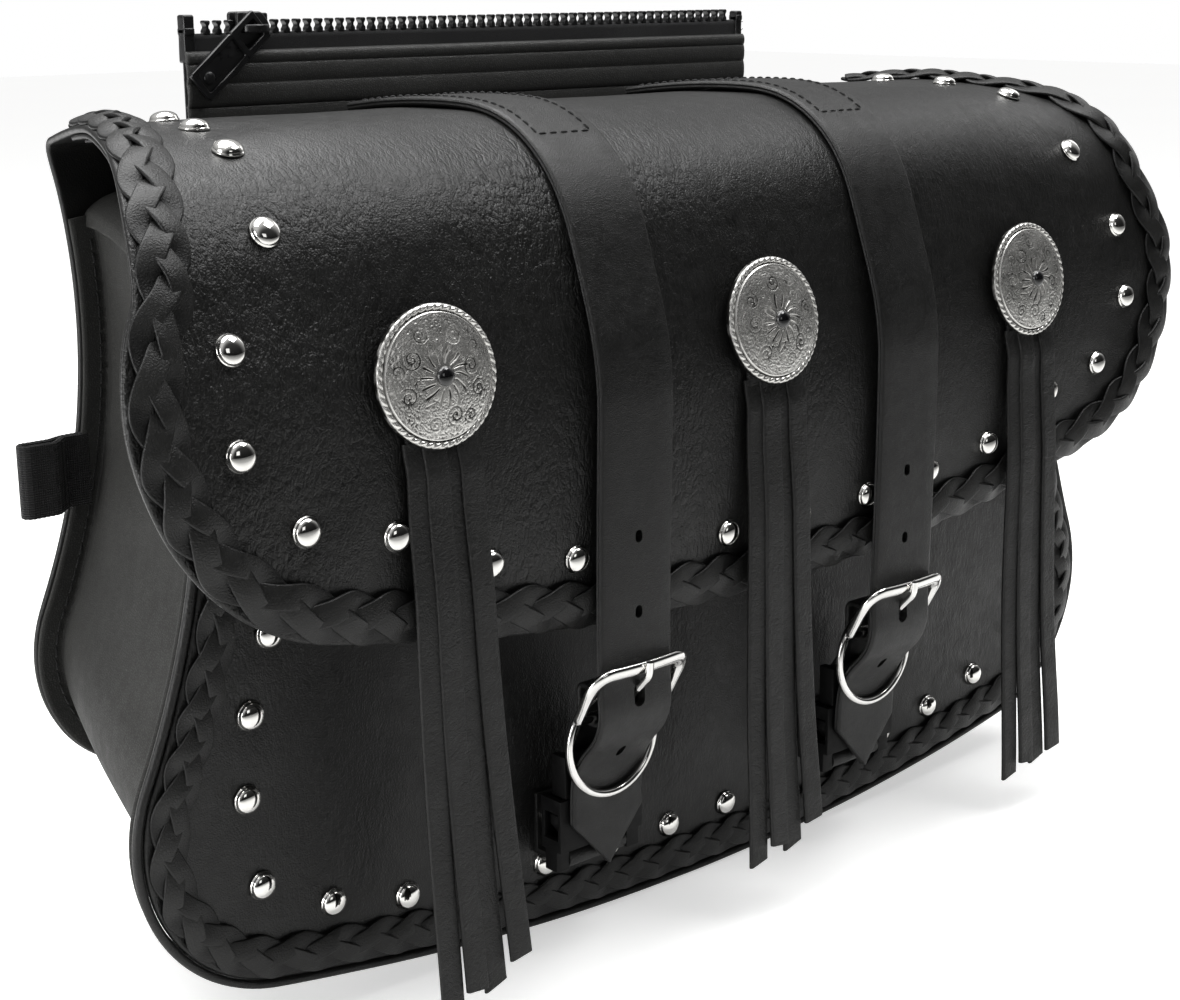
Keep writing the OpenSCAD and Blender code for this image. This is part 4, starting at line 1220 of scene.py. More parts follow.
FRINGE_Y = -158.4
FRINGE_TOP = 47.0
HEAD_TOP = 74.0
HEAD_W = 24.0
FRINGE_TURN_Z = 42.0
STRAND_W = 8.5
STRAND_T = 1.8


def strand(x, place, layer, tip, drift, forward):
    """One strand hanging from under its concho to the height tip."""
    z = np.linspace(FRINGE_TOP, tip, 110)
    t = (FRINGE_TOP - z) / (FRINGE_TOP - tip)
    seat = on_sheet(np.column_stack([0 * z + x, s_front(z)]), -(STRAND_T / 2 + 0.2))[:, 1]
    outward = 0.9 * layer + 1.8 * smooth(t, 0.08, 0.3) + forward * smooth(t, 0.45, 1.1) ** 1.5
    hang = FRINGE_Y - outward
    held = smooth(z, FRINGE_TURN_Z - 6, FRINGE_TOP)
    y = held * np.minimum(seat, hang + 2.0) + (1 - held) * hang
    sway = 0.65 * soft_noise(z, 0 * z + x + 9 * place, 70, 2.5) * smooth(t, 0.1, 0.6)
    across = x + place * (6.1 + 2.4 * t ** 1.2) + drift * t ** 1.3 + sway
    points = np.column_stack([across, y + 0.6 * soft_noise(z, 0 * z + x, 50, place) * t, z])
    roll = 0.10 * np.sin(3.1 * t + place) * t + 0.05 * place * t
    normals = np.column_stack([np.sin(roll), -np.cos(roll), 0 * roll])
    return ribbon(points, normals, band(STRAND_W, STRAND_T))


def fringe_heads():
    """The uncut top of each fringe, screwed down under its concho."""
    z = np.linspace(FRINGE_TOP - 1.0, HEAD_TOP, 24)
    shapes = []
    for x in CONCHOS_FLAT[:, 0]:
        flat = np.column_stack([0 * z + x, s_front(z)])
        points, normals = face_and_normal(on_sheet, flat)
        shapes.append(ribbon(points + normals * (HEAD_T / 2 + 0.1), normals, band(HEAD_W, HEAD_T)))
    finish(new_piece("fringe_tops", *merge(*shapes), FRINGE, 50), "lid", "fringe_leather", "fringe_heads")


FRINGES = {"left": ((-131, -127, -129, -121), 7.0), "middle": ((-124, -119, -122, -114), 3.0),
           "right": ((-130, -126, -127, -124), 6.0)}
TIP_SLANTS = (0.22, -0.15, 0.3, 0.1)


def fringes():
    """Each fringe's four strands, with the heights of their tips and how far they drift aside."""
    for (name, (tips, drift)), middle in zip(FRINGES.items(), CONCHOS_FLAT[:, 0]):
        strands = [strand(middle, k - 1.5, k % 2, tip, drift, 3.0 + k % 2) for k, tip in enumerate(tips)]
        for (points, _), slant in zip(strands, TIP_SLANTS):
            end = points[-len(band(STRAND_W, STRAND_T)):]
            end[:, 2] += slant * (end[:, 0] - end[:, 0].mean())
        piece = new_piece("fringe_" + name, *merge(*strands), FRINGE, 50)
        store(piece, "crinkle", np.full(len(piece.data.vertices), 0.6))
        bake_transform(piece)
        finish(piece, None, "fringe_leather", "fringe_" + name)


# ---------------------------------------------------------------- straps and buckles

TOP_BAR = np.array([-163.2, -38.0])
HEEL_BAR = np.array([-153.6, -55.0])
RING = np.array([-148.6, -67.4])
RING_R = 18.5
CLIP_BAR = np.array([-140.0, -75.0])
FRAME_HALF = 19.2
WIRE_R = 1.75
RING_WIRE_R = 1.45
CHAPE_T = 1.9
STRAP_TIP_Z = -112.0
STRAP_END_Y = -30.5
PRONG_HOLE_Z = -48.2
PILL_REACH = (-172, -138)
HOLES = [(PRONG_HOLE_Z, 4.6, 8.0)] + [(PRONG_HOLE_Z + 3 + 25 * k, 3.0, 4.2) for k in (-1, 1, 2)]


def strap_line(x):
    """Side-view path, as y and z, of the middle of a strap's thickness."""
    s = np.arange(s_at(STRAP_END_Y, 130.0), s_front(96.0), 1.5)
    level = [on_sheet(np.column_stack([0 * s + x + dx, s]), -STRAP_T / 2 - 0.35)[:, 1:]
             for dx in (-12, 0, 12)]
    on_lid = level[1] + 0
    out = np.max([np.linalg.norm(part - SHOULDER, axis=1) for part in level], axis=0)
    away = unit(on_lid - CREST)
    on_lid += away * (out - np.linalg.norm(on_lid - SHOULDER, axis=1))[:, None]
    half = STRAP_T / 2
    hang = np.array([[-157.0, 66], [-158.6, 50], [-158.6, 0], [-158.5, -44], [-159.4, -54], [-156.6, -62],
                     [-149.5, -69.5], [-145, -77], [-143.9, -87], [-143.9, STRAP_TIP_Z]]) - [half, 0]
    top = soften(join(on_lid, hang[:2]), 18)
    return spaced(soften(join(top, hang[2:]), 7), 1.2)


def strap_section(z, count):
    """The strap's section at height z on its tail: two plies, narrowing to the pointed tip."""
    section = band(STRAP_W, STRAP_T, 0.15)
    edge = np.abs(section[:, 0]) > STRAP_W / 2 - 0.6
    section[edge & (np.abs(section[:, 1]) < 0.25)] *= [0.975, 1]
    half = np.clip((z - STRAP_TIP_Z) / 17.0, 0.03, 1)
    share = np.where(z < -80, half, 1.0)
    sections = np.tile(section, (count, 1, 1))
    sections[:, :, 0] *= share[:, None]
    return sections


def pill(z, width, height, x):
    """A cutter for an oval hole through the strap at height z."""
    turn = np.linspace(0, 2 * math.pi, 28, endpoint=False)
    shift = (height - width) / 2 * np.sign(np.sin(turn))
    loop = np.column_stack([x + width / 2 * np.cos(turn), z + shift + width / 2 * np.sin(turn)])
    rings = [np.column_stack([loop[:, 0], 0 * turn + y, loop[:, 1]]) for y in PILL_REACH]
    count = len(turn)
    faces = quads(2, count, 0, False, True) + [list(range(count)), list(range(count, 2 * count))]
    return np.vstack(rings), faces


def cut(piece, cutters):
    """Cuts closed shapes out of a piece."""
    tool = new_piece(piece.name + "_cutter", *merge(*cutters), BOARD)
    change = piece.modifiers.new("cut", "BOOLEAN")
    change.operation, change.solver, change.object = "DIFFERENCE", "EXACT", tool
    settle(piece)
    bpy.data.objects.remove(tool)


def settle(piece):
    """Replaces the piece's mesh with the result of its modifiers."""
    graph = bpy.context.evaluated_depsgraph_get()
    mesh = bpy.data.meshes.new_from_object(piece.evaluated_get(graph), depsgraph=graph)
    piece.modifiers.clear()
    piece.data = mesh


def straps():
    """The two straps, from their sewn ends on the lid to their pointed tips."""
    for side, sign in SIDES.items():
        x = sign * STRAP_X
        line = strap_line(x)
        points, normals = side_view(x, line)
        points[:, 0] += 0.7 * np.sin(line[:, 1] / 38 + sign)
        section = strap_section(line[:, 1], len(line))
        piece = new_piece("strap_" + side, *ribbon(points, normals, section), STRAP)
        cut(piece, [pill(z, width, height, x) for z, width, height in HOLES])
        piece.data.set_sharp_from_angle(angle=math.radians(50))
        finish(piece, "lid", "strap_leather", "strap_" + side)
        strap_box(side, points, normals)


def strap_box(side, points, normals):
    """The box of stitches that holds a strap's end to the lid."""
    behind, front, above, inset = STRAP_END_Y - 2, -126, 100, 4.6
    on_top = (points[:, 1] < behind) & (points[:, 1] > front) & (points[:, 2] > above)
    half = STRAP_W / 2 - inset
    surface = points[on_top] + normals[on_top] * (STRAP_T / 2)
    left, right = surface - [half, 0, 0], surface + [half, 0, 0]
    cross = np.linspace(left[-1], right[-1], 30)
    normal = normals[on_top]
    for end, line, facing in (("a", left, normal), ("b", right, normal),
                              ("c", cross, np.tile(normal[-1], (30, 1)))):
        stitches(f"strap_stitches_{side}_{end}", line, facing, "lid")


def buckle_frame(x):
    """The buckle's wire: a round heel bar, side wires and a flattened top bar."""
    rise = np.linalg.norm(TOP_BAR - HEEL_BAR)
    up = unit(TOP_BAR - HEEL_BAR)
    out = np.array([-up[1], up[0]])
    half, foot, bend = FRAME_HALF, 1.5, 6.5
    loop = join(np.array([[0, 0], [half - foot, 0]]), arc((half - foot, foot), foot, -90, 0, 0.4),
                arc((half - bend, rise - bend), bend, 0, 90, 0.7), np.array([[0, rise]]))
    loop = spaced(loop, 0.7)
    loop = join(loop, flip(loop)[::-1])[:-1]
    bow = 0.9 * (loop[:, 1] / rise) * (1 - (loop[:, 0] / half) ** 2)
    side_view = HEEL_BAR + loop[:, 1:] * up + bow[:, None] * out
    points = np.column_stack([loop[:, 0] + x, side_view])
    normals = np.tile([0, out[0], out[1]], (len(points), 1))
    share = smooth(loop[:, 1], 2, rise - 1)
    section = np.tile(circle(1.0, 14), (len(points), 1, 1))
    section[:, :, 0] *= (WIRE_R + 0.95 * share)[:, None]
    section[:, :, 1] *= (WIRE_R - 0.2 * share)[:, None]
    return ribbon(points, normals, section, closed=True)


def prong(x):
    """The buckle's tongue: an eye round the heel bar and a bar that ends on the top bar."""
    line = soften(np.array([[-155.6, -53.6], [-158.0, -49.6], [-162.8, -44.6], [-166.6, -40.6],
                            [-167.0, -35.9]]), 2.5, 0.5)
    points, normals = side_view(x, line)
    share = np.linspace(0, 1, len(points))
    section = np.tile(band(3.4, 2.3, 0.2), (len(points), 1, 1)) * (1.05 - 0.2 * share)[:, None, None]
    eye = np.column_stack([np.full(28, x), HEEL_BAR + circle(3.1, 28)])
    away = unit(eye - [x, *HEEL_BAR])
    return merge(ribbon(points, -normals, section), ribbon(eye, away, band(3.4, 1.9), True))


def chape_path():
    """Side view of the leather that loops round the heel bar and the ring, and its tail."""
    back, top = RING[0] + 2.9, RING[1] + RING_R + 2.9
    radius = 3.1
    loop = join(arc(HEEL_BAR, radius, 270, 180, 0.5),
                arc((HEEL_BAR[0] - radius + 2, top - 2), 2, 180, 90, 0.5),
                arc((back - 2, top - 2), 2, 90, 0, 0.5),
                arc((back - 2, HEEL_BAR[1] - radius + 2), 2, 0, -90, 0.5))
    eye = arc(CLIP_BAR, 2.6, 60, 60 - 320, 0.5)
    tail = soften(join(np.array([[back - 0.2, HEEL_BAR[1] + 2], [back + 0.3, HEEL_BAR[1] - 6]]),
                       np.array([[CLIP_BAR[0] - 1.6, CLIP_BAR[1] + 6.5]]), eye), 1.5, 0.5)
    return spaced(loop, 0.7), tail


def chape(x):
    """Two bands round the heel bar with the prong's slot between them, and the tail below."""
    loop, tail = chape_path()
    back = loop[loop[:, 0] > RING[0] + 1.5]
    back = back[np.argsort(-back[:, 1])]
    shapes = []
    for line, offset, width, closed in ((loop, -7.8, 9.4, True), (loop, 7.8, 9.4, True),
                                        (back, 0.0, 8.0, False), (tail, 0.0, 25.0, False)):
        shapes.append(ribbon(*side_view(x + offset, line), band(width, CHAPE_T), closed))
    return merge(*shapes)


def buckles():
    """Buckle frames, prongs, keeper rings and the leather that holds them."""
    for side, sign in SIDES.items():
        x = sign * STRAP_X
        wire = new_piece("buckle_frame_" + side, *buckle_frame(x), CHROME)
        finish(wire, "lid", "buckle_chrome", "buckle_frame_" + side)
        tongue = new_piece("prong_" + side, *prong(x), CHROME, 40)
        finish(tongue, "prong_" + side, "buckle_chrome", "prong_" + side)
        turn = circle(RING_R, 96)
        wire_line = np.column_stack([x + turn[:, 0], np.full(96, RING[0]), RING[1] + turn[:, 1]])
        ring = new_piece("ring_" + side, *tube(wire_line, RING_WIRE_R, 14, True), CHROME)
        finish(ring, "ring_" + side, "buckle_chrome", "ring_" + side)
        loop = new_piece("chape_" + side, *chape(x), STRAP, 45)
        finish(loop, "lid", "strap_leather", "chape_" + side)


def moulded(name, body, slot, material, radius=0.35):
    """A part kept at its CAD shape, with its edges rounded off."""
    source = frame["nodes"][name].data
    shape = bmesh.new()
    shape.from_mesh(source)
    bmesh.ops.remove_doubles(shape, verts=shape.verts, dist=1e-6)
    bmesh.ops.dissolve_limit(shape, angle_limit=math.radians(2), verts=shape.verts,
                             edges=shape.edges)
    sharp = [edge for edge in shape.edges
             if len(edge.link_faces) == 2 and edge.calc_face_angle(0) > math.radians(35)]
    bmesh.ops.bevel(shape, geom=sharp, offset=radius * MM, segments=2, profile=0.5,
                    affect="EDGES", clamp_overlap=True)
    mesh = bpy.data.meshes.new(name)
    shape.to_mesh(mesh)
    shape.free()
    mesh.shade_smooth()
    mesh.set_sharp_from_angle(angle=math.radians(40))
    mesh.materials.append(material)
    piece = bpy.data.objects.new(name + "_moulded", mesh)
    bpy.context.scene.collection.objects.link(piece)
    return finish(piece, body, slot, name)


def clips():
    """The plastic clips behind the strap ends and their anchors, and the conchos' screws."""
    for side in SIDES:
        moulded("clip_" + side, "lid", "clip_plastic", CLIP_PLASTIC)
        moulded("socket_" + side, "pouch", "clip_plastic", CLIP_PLASTIC)
        for end in "ab":
            name = f"clip_arm_{side}_{end}"
            moulded(name, name, "clip_plastic", CLIP_PLASTIC, 0.3)
    moulded("socket_tabs", "pouch", "trim_leather", TRIM, 0.4)
    moulded("tab_rivets", "pouch", "stud_chrome", STUD_M, 0.4)
    moulded("concho_screws", "lid", "stud_chrome", STUD_M, 0.4)


# ---------------------------------------------------------------- zip and tie loops

TAPE_Y = (cad("zip_tape")[0][1] + cad("zip_tape")[1][1]) / 2
TAPE_LOW, TAPE_TOP = cad("zip_tape")[0][2], cad("zip_tape")[1][2]
ZIP_HALF = cad("zip_tape")[1][0]
FACING_LOW, FACING_HIGH = cad("zip_facing")
TEETH = islands("zip_teeth")
SLIDER = islands("zip_slider")[0]
PULL_DROOP = math.radians(40)
PULL_LENGTH = 30.0
SLIDER_FRONT = -13.2
PIVOT = np.array([SLIDER[0], sum(corner[1] for corner in cad("zip_pull")) / 2,
                  cad("zip_slider")[1][2] - 5.5])


def zip_wave(x):
    """How far the zip strays from straight, to the front and upwards."""
    return 0.5 * soft_noise(x, 0 * x, 60, 2.5)


def strip(name, x, levels, fronts, thickness, material):
    """A closed sheet along the zip, from heights and how far forward each of them stands."""
    xs, rise = np.meshgrid(x, levels)
    fronts = np.broadcast_to(np.asarray(fronts, float)[:, None], xs.shape)
    grid = np.stack([xs, fronts + zip_wave(xs), rise], -1)
    return new_piece(name, *shell(grid[::-1], thickness), material)


def crowned(z, low, high, edge, groove):
    """A padded band between two seams, nearly flat and falling off at its edges."""
    t = np.clip((z - low) / (high - low), 0, 1)
    return edge + groove * (np.minimum(1, 4.2 * t * (1 - t)) ** 0.7)


ZIP_SEAMS = (FACING_HIGH[2] - 3.4, FACING_HIGH[2] - 10.0)
FACING_HEM = FACING_LOW[2] + 6.0
FACING_SWELL = 0.75
ZIP_X = np.linspace(-ZIP_HALF, ZIP_HALF, 175)


def zip_facing():
    """The leather sewn along the zip's tape, with its rolled hem and two rows of stitches."""
    seams = [FACING_LOW[2], FACING_HEM, ZIP_SEAMS[1], ZIP_SEAMS[0], FACING_HIGH[2]]
    z = np.linspace(FACING_LOW[2], FACING_HIGH[2], 40)
    lift = np.zeros(len(z))
    for low, high in zip(seams, seams[1:]):
        inside = (z >= low) & (z <= high)
        lift[inside] = crowned(z[inside], low, high, 0.0, FACING_SWELL)
    fronts = FACING_LOW[1] + FACING_SWELL - lift + 0.7 * (z < FACING_HEM)
    facing = strip("zip_facing", ZIP_X, z, fronts, 1.1, ZIP_LEATHER)
    finish(facing, "pouch", "zip_leather", "zip_facing")
    run = np.linspace(-ZIP_HALF + 1, ZIP_HALF - 1, 300)
    outward = np.tile([0, -1.0, 0], (len(run), 1))
    for k, seam in enumerate(ZIP_SEAMS):
        line = np.column_stack([run, FACING_LOW[1] + 0.7 + zip_wave(run), 0 * run + seam])
        stitches(f"zip_stitches_{k}", line, outward, "pouch", 2.6, 1.5, 0.5)


def zip_tape():
    """The woven tape and the cord along its top that the teeth grip."""
    rows = np.linspace(TAPE_LOW, TAPE_TOP, 22)
    tape = strip("zip_tape", ZIP_X, rows, 0 * rows + TAPE_Y - 0.5, 1.0, TAPE)
    finish(tape, "pouch", "zip_tape", "zip_tape")
    run = np.linspace(-ZIP_HALF, ZIP_HALF, 200)
    cord = np.column_stack([run, TAPE_Y + zip_wave(run), 0 * run + TAPE_TOP - 0.6])
    finish(new_piece("zip_cord", *tube(cord, 1.15, 10), TAPE), "pouch", "zip_tape")


def zip_threads():
    """Loose threads at the cut end of the tape."""
    t = np.linspace(0, 1, 6)[:, None]
    ends = []
    for k in range(12):
        start = np.array([ZIP_HALF - 1, TAPE_Y - 0.4, TAPE_LOW + 3 + 2.2 * k])
        reach = np.array([2.0 + 1.4 * abs(math.sin(5 * k)), 0.5 * math.sin(3 * k), 1.6 * math.sin(7 * k)])
        curl = np.sin(3 * t) * [0, 0, 0.6 * math.cos(4 * k)]
        ends.append(tube(start + reach * t + curl, 0.13, 5))
    finish(new_piece("zip_threads", *merge(*ends), THREAD), "pouch", "zip_tape")


def rim_ring(loop, y, inset):
    """A loop in x, z drawn in by inset and stood at the level y."""
    middle = loop.mean(0)
    reach = np.linalg.norm(loop - middle, axis=1, keepdims=True)
    ring = middle + (loop - middle) * (1 - inset / reach)
    return np.column_stack([ring[:, 0], np.full(len(ring), y), ring[:, 1]])


def extrude(outline, low, high, rim):
    """A plate with a rounded rim from an outline in x, z, between two y levels."""
    levels = ((low, rim), (low + 0.3 * rim, 0.3 * rim), (low + rim, 0.0), (high - rim, 0.0),
              (high - 0.3 * rim, 0.3 * rim), (high, rim))
    rings = [rim_ring(outline, y, inset) for y, inset in levels]
    count = len(outline)
    faces = quads(len(rings), count, 0, False, True)
    faces += [list(range(count)), [(len(rings) - 1) * count + k for k in range(count)]]
    return np.vstack(rings), faces


def rounded(outline, radius):
    """A closed outline with its corners softened."""
    loop = np.vstack([outline, outline[:1]])
    fine = spaced(loop, 0.25)[:-1]
    half = max(1, int(radius / 0.25))
    weight = np.ones(2 * half + 1) / (2 * half + 1)
    padded = np.vstack([fine[-half:], fine, fine[:half]])
    return np.column_stack([np.convolve(column, weight, "valid") for column in padded.T])[::2]


def zip_teeth():
    """Moulded teeth: a foot gripping the tape's cord, a waist and a wide head."""
    half = np.array([[1.05, -2.4], [1.15, -1.0], [0.5, -0.2], [0.5, 0.8], [1.1, 1.5], [1.1, 2.2],
                     [0.8, 2.35]])
    outline = rounded(np.vstack([half, flip(half)[::-1]]), 0.3)
    tooth = extrude(outline, -1.5, 1.5, 0.3)
    shapes = []
    for x, y, z in TEETH:
        y += zip_wave(np.array([x]))[0]
        shapes.append((tooth[0] + [x, y, z], tooth[1]))
    finish(new_piece("zip_teeth", *merge(*shapes), ZIP_PLASTIC, 45), "pouch", "zip_plastic", "zip_teeth")


def box_loop(left, right, low, high, radius):
    """A rectangle with rounded corners, as a loop in x, z."""
    corners = np.array([[left, low], [right, low], [right, high], [left, high]], float)
    return rounded(corners, radius)


def zip_ends():
    """The tall box at the zip's start and the low stop at its end."""
    for name, rise, share in (("zip_box", 1.0, 1.0), ("zip_stop", 0.6, 0.8)):
        low, high = cad(name)
        x = (low[0] + high[0]) / 2
        half = share * (high[0] - low[0]) / 2
        top = high[2] * rise + low[2] * (1 - rise)
        block = box_loop(x - half, x + half, TAPE_TOP - 9.0, top, 0.7)
        collar = box_loop(x - half, x + half, low[2], low[2] + 2.4, 0.7)
        shapes = (extrude(block, low[1] + 0.4, high[1] - 0.4, 0.6),
                  extrude(collar, low[1], high[1], 0.5))
        piece = new_piece(name, *merge(*shapes), ZIP_PLASTIC, 45)
        finish(piece, "pouch", "zip_plastic", name)


def zip_slider():
    """Slider body: two shield-shaped plates, the wedge between them and the bridge in front."""
    low, high = cad("zip_slider")
    x, mid = SLIDER[0], SLIDER[2]
    half, tall = (high[0] - low[0]) / 2, (high[2] - low[2]) / 2
    shield = np.array([[-half, -tall], [half * 0.55, -tall], [half, -tall * 0.35], [half, tall * 0.35],
                       [half * 0.55, tall], [-half, tall]]) * 0.97 + [x, mid]
    shield = rounded(shield, 1.3)
    back_y, body_low, body_high = low[1], SLIDER_FRONT, high[1]
    plates = [extrude(shield, body_low, body_low + 1.9, 0.6),
              extrude(shield, body_high - 1.9, body_high, 0.6)]
    wedge = rounded(np.array([[x + half * 0.45, mid - 2.6], [x + half * 0.95, mid - 1.2],
                              [x + half * 0.95, mid + 5.1], [x + half * 0.45, mid + 5.1]]), 0.6)
    plates.append(extrude(wedge, body_low + 1, body_high - 1, 0.3))
    t = np.linspace(0, math.pi, 26)
    rise = (body_low - back_y + 0.2) * np.sin(t) ** 0.6
    bow = np.column_stack([x + 4.6 * np.cos(t), body_low + 0.4 - rise, 0 * t + mid])
    normals = np.column_stack([np.cos(t), -np.sin(t), 0 * t])
    plates.append(ribbon(bow, normals, band(2.9, 1.3)))
    piece = new_piece("zip_slider", *merge(*plates), ZIP_PLASTIC, 45)
    finish(piece, "zip_slider", "zip_plastic", "zip_slider")


def hole_plate(outer, inner, low, high, rim):
    """A plate with a hole: two loops with the same number of points, rounded at their rims."""
    levels = [(low, rim), (low + rim, 0.0), (high - rim, 0.0), (high, rim)]
    rings = [rim_ring(outer, y, inset) for y, inset in levels]
    rings += [rim_ring(inner, y, -inset) for y, inset in levels[::-1]]
    return np.vstack(rings), quads(len(rings), len(outer), 0, True, True)


def zip_pull():
    """The pull: a rimmed frame with a slot by the slider and a recessed, dimpled panel."""
    def loop(left, right, half, radius):
        ring = box_loop(left, right, -half, half, radius)
        return resample(np.vstack([ring, ring[:1]]), 97)[:-1]

    near, step, far, half, thick = -2.6, 9.0, PULL_LENGTH, 5.6, 0.85
    eye = hole_plate(loop(near, step + 0.4, half, 0.9), loop(-0.9, 7.2, 3.3, 0.9), -thick, thick, 0.35)
    rim = hole_plate(loop(step, far, half, 1.2), loop(step + 0.6, far - 2.0, half - 1.9, 0.8),
                     -thick, thick, 0.35)
    panel = extrude(loop(step, far - 1.2, half - 1.4, 0.6), -0.35, 0.35, 0.1)
    bump = lathe([(2.2, 0.0), (2.1, 0.3), (1.7, 0.62), (1.0, 0.8), (0.1, 0.86)], 20)
    bumps = [scatter(bump, np.array([[far - 5.2, sign * 0.2, 0.0]]), np.array([[0, sign, 0.0]]))
             for sign in (-1, 1)]
    points, faces = merge(eye, rim, panel, *bumps)
    along = np.array([-math.cos(PULL_DROOP), 0, -math.sin(PULL_DROOP)])
    across = np.array([math.sin(PULL_DROOP), 0, -math.cos(PULL_DROOP)])
    points = PIVOT + points[:, :1] * along + points[:, 1:2] * [0, 1, 0] + points[:, 2:] * across
    piece = new_piece("zip_pull", points, faces, ZIP_PLASTIC, 45)
    finish(piece, "zip_pull", "zip_plastic", "zip_pull")


def tie_loops():
    """Folded webbing sewn to the back's edges, with the ribs of a coarse weave."""
    low, high = cad("tie_loops")
    thick, rib_pitch = 1.5, 1.6
    back_y, front_y = high[1] - 0.9, low[1] + 0.9
    root, edge, tip, seam = 172.0, 181.0, high[0] - 3.0, GUSSET_BACK
    fold = arc((tip, (back_y + front_y) / 2), (back_y - front_y) / 2, 90, -90, 0.4)
    out = np.array([[root, seam], [edge, seam - 0.2], [edge + 6, back_y], [tip, back_y]])
    home = np.array([[edge + 6, front_y], [edge, seam - 1.4], [root, seam - 1.4]])
    path = soften(join(out, fold, home), 1.5, 0.5)
    rib = np.sin(2 * math.pi * lengths(path) / rib_pitch)
    shapes = []
    for sign in (-1, 1):
        points = np.column_stack([sign * path[:, 0], path[:, 1], 0 * rib + (low[2] + high[2]) / 2])
        run = tangents(points)
        normals = np.column_stack([run[:, 1], -run[:, 0], 0 * rib]) * sign
        section = np.tile(band(high[2] - low[2], thick), (len(points), 1, 1))
        section[:, :, 0] *= (1 + 0.006 * rib)[:, None]
        section[:, :, 1] *= (1 + 0.16 * rib)[:, None]
        shapes.append(ribbon(points, normals, section))
    finish(new_piece("tie_loops", *merge(*shapes), WEBBING), "pouch", "webbing", "tie_loops")


# ---------------------------------------------------------------- stage, light and camera

VIEW_TURN = math.radians(-41.12)
VIEW_RISE = math.radians(14.58)
VIEW_ROLL = math.radians(-0.38)
VIEW_DISTANCE = 0.78
VIEW_SHIFT = Vector((0.017, 0.040, -0.031))
MIDDLE = (cad_box[0] + cad_box[1]) / 2
VIEW_BACK = Vector((math.sin(VIEW_TURN) * math.cos(VIEW_RISE), -math.cos(VIEW_TURN) * math.cos(VIEW_RISE),
                    math.sin(VIEW_RISE)))


def stage():
    """The pale floor under the bag."""
    size, low = 6.0, cad_box[0].z - 0.0005
    mesh = bpy.data.meshes.new("studio_floor")
    corners = [(-size, -size, low), (size, -size, low), (size, size, low), (-size, size, low)]
    mesh.from_pydata(corners, [], [(0, 1, 2, 3)])
    mesh.materials.append(floor_material())
    floor = bpy.data.objects.new("studio_floor", mesh)
    bpy.context.scene.collection.objects.link(floor)


DARK_SIDE = (0.2, -0.98, 0)


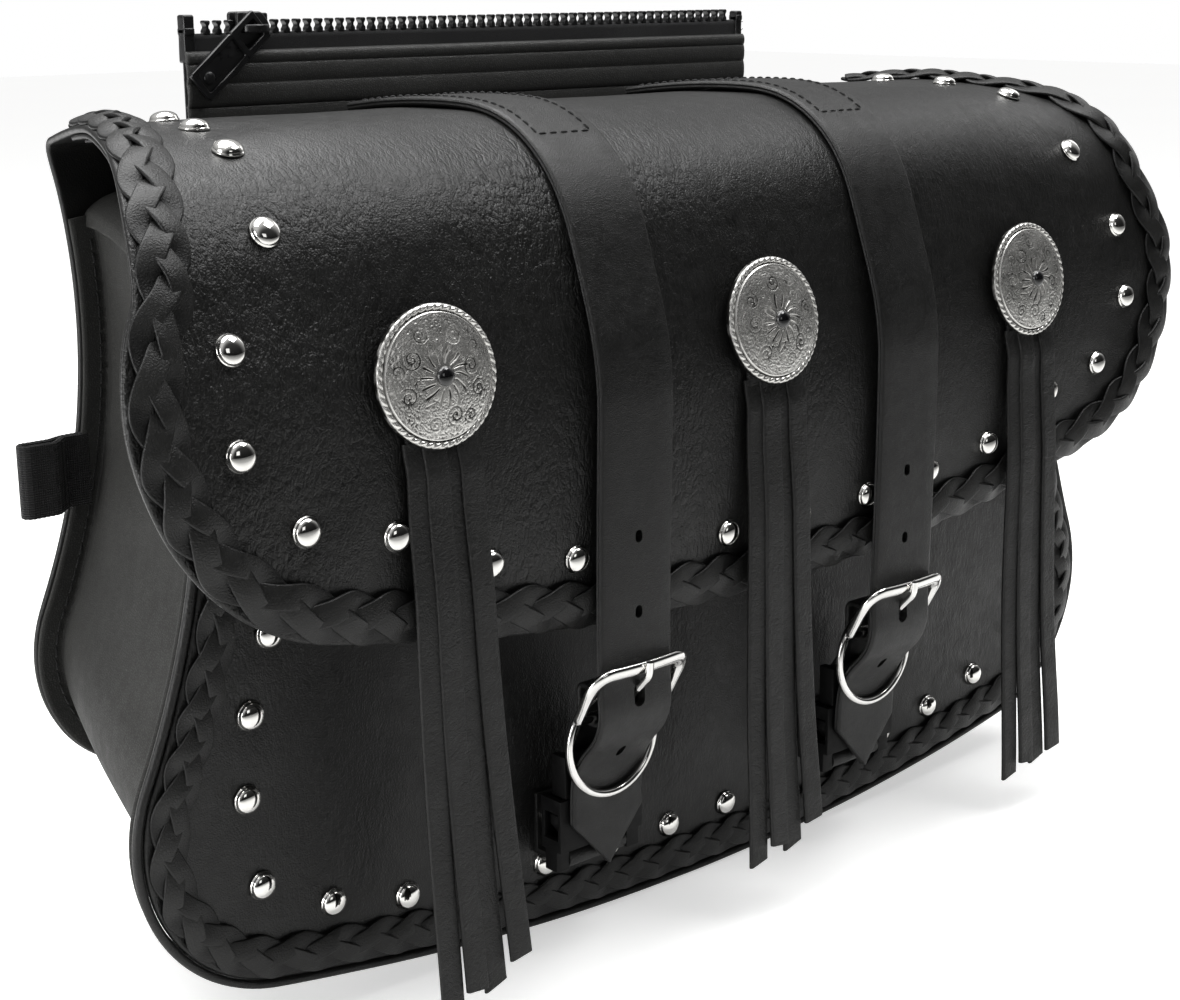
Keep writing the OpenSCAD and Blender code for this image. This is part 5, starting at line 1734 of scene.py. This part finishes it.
def world():
    """White to the camera; for reflections bright above and behind, and dim in front and below."""
    sky = bpy.data.worlds.new("studio")
    bpy.context.scene.world = sky
    sky.use_nodes = True
    tree = sky.node_tree
    tree.nodes.clear()

    def step(value, low, high, to_low, to_high):
        limits = {"Value": value, "From Min": low, "From Max": high, "To Min": to_low, "To Max": to_high}
        item = add_node(tree, "ShaderNodeMapRange", limits, interpolation_type="SMOOTHSTEP")
        return item.outputs["Result"]

    place = add_node(tree, "ShaderNodeTexCoord").outputs["Generated"]
    height = add_node(tree, "ShaderNodeSeparateXYZ", {"Vector": place}).outputs["Z"]
    ahead = add_node(tree, "ShaderNodeVectorMath", {0: place, 1: DARK_SIDE}, operation="DOT_PRODUCT")
    rise, shade = step(height, -0.15, 0.9, 0.14, 0.75), step(ahead.outputs["Value"], 0.2, 0.75, 1.0, 0.06)
    strength = add_node(tree, "ShaderNodeMath", {0: rise, 1: shade}, operation="MULTIPLY").outputs[0]
    lit = add_node(tree, "ShaderNodeBackground", {"Strength": strength}).outputs[0]
    seen = add_node(tree, "ShaderNodeBackground", {"Color": (1, 1, 1, 1)}).outputs[0]
    camera_ray = add_node(tree, "ShaderNodeLightPath").outputs["Is Camera Ray"]
    mix = add_node(tree, "ShaderNodeMixShader", {0: camera_ray, 1: lit, 2: seen}).outputs[0]
    add_node(tree, "ShaderNodeOutputWorld", {"Surface": mix})


def area(name, place, size, power):
    """A soft light at a place given from the bag's middle, in metres, and aimed at it."""
    data = bpy.data.lights.new(name, "AREA")
    data.shape, data.size, data.size_y, data.energy = "RECTANGLE", size[0], size[1], power
    lamp = bpy.data.objects.new(name, data)
    lamp.location = MIDDLE + Vector(place)
    lamp.rotation_euler = (-Vector(place)).to_track_quat("-Z", "Y").to_euler()
    bpy.context.scene.collection.objects.link(lamp)


def lights():
    """Soft boxes above, to the left and behind the camera, and a weak one to the right."""
    area("top_softbox", (-0.15, 0.30, 1.3), (1.6, 1.0), 27)
    area("left_softbox", (-1.5, -0.02, 0.14), (0.7, 0.9), 12)
    area("shoulder_softbox", (0.45, -0.35, 1.1), (0.7, 0.5), 7)
    area("front_fill", (-0.4, -1.5, 0.6), (0.5, 0.5), 0.8)
    area("right_kicker", (1.3, 0.2, 0.6), (0.5, 0.9), 1.5)


def camera():
    """The camera, turned round the bag's middle to the view's angle."""
    data = bpy.data.cameras.new("camera")
    data.lens, data.sensor_width, data.sensor_fit = 61.4, 36, "HORIZONTAL"
    data.clip_start = 0.05
    eye = bpy.data.objects.new("camera", data)
    eye.location = MIDDLE + VIEW_SHIFT + VIEW_DISTANCE * VIEW_BACK
    aim = (-VIEW_BACK).to_track_quat("-Z", "Y").to_matrix().to_4x4()
    eye.rotation_euler = (aim @ Matrix.Rotation(VIEW_ROLL, 4, "Z")).to_euler()
    bpy.context.scene.collection.objects.link(eye)
    bpy.context.scene.camera = eye


def tone():
    """A plain view transform, so that colours show as they are lit."""
    bpy.context.scene.view_settings.view_transform = "Standard"
    bpy.context.scene.view_settings.look = "None"


back_and_lid()
lid_layers()
braids()
panels()
gusset()
gusset_tops()
piping()
base_stiffener()
studs()
gusset_stitches()
conchos()
fringe_heads()
fringes()
straps()
buckles()
clips()
zip_facing()
zip_tape()
zip_threads()
zip_teeth()
zip_ends()
zip_slider()
zip_pull()
tie_loops()
stage()
world()
lights()
camera()
tone()
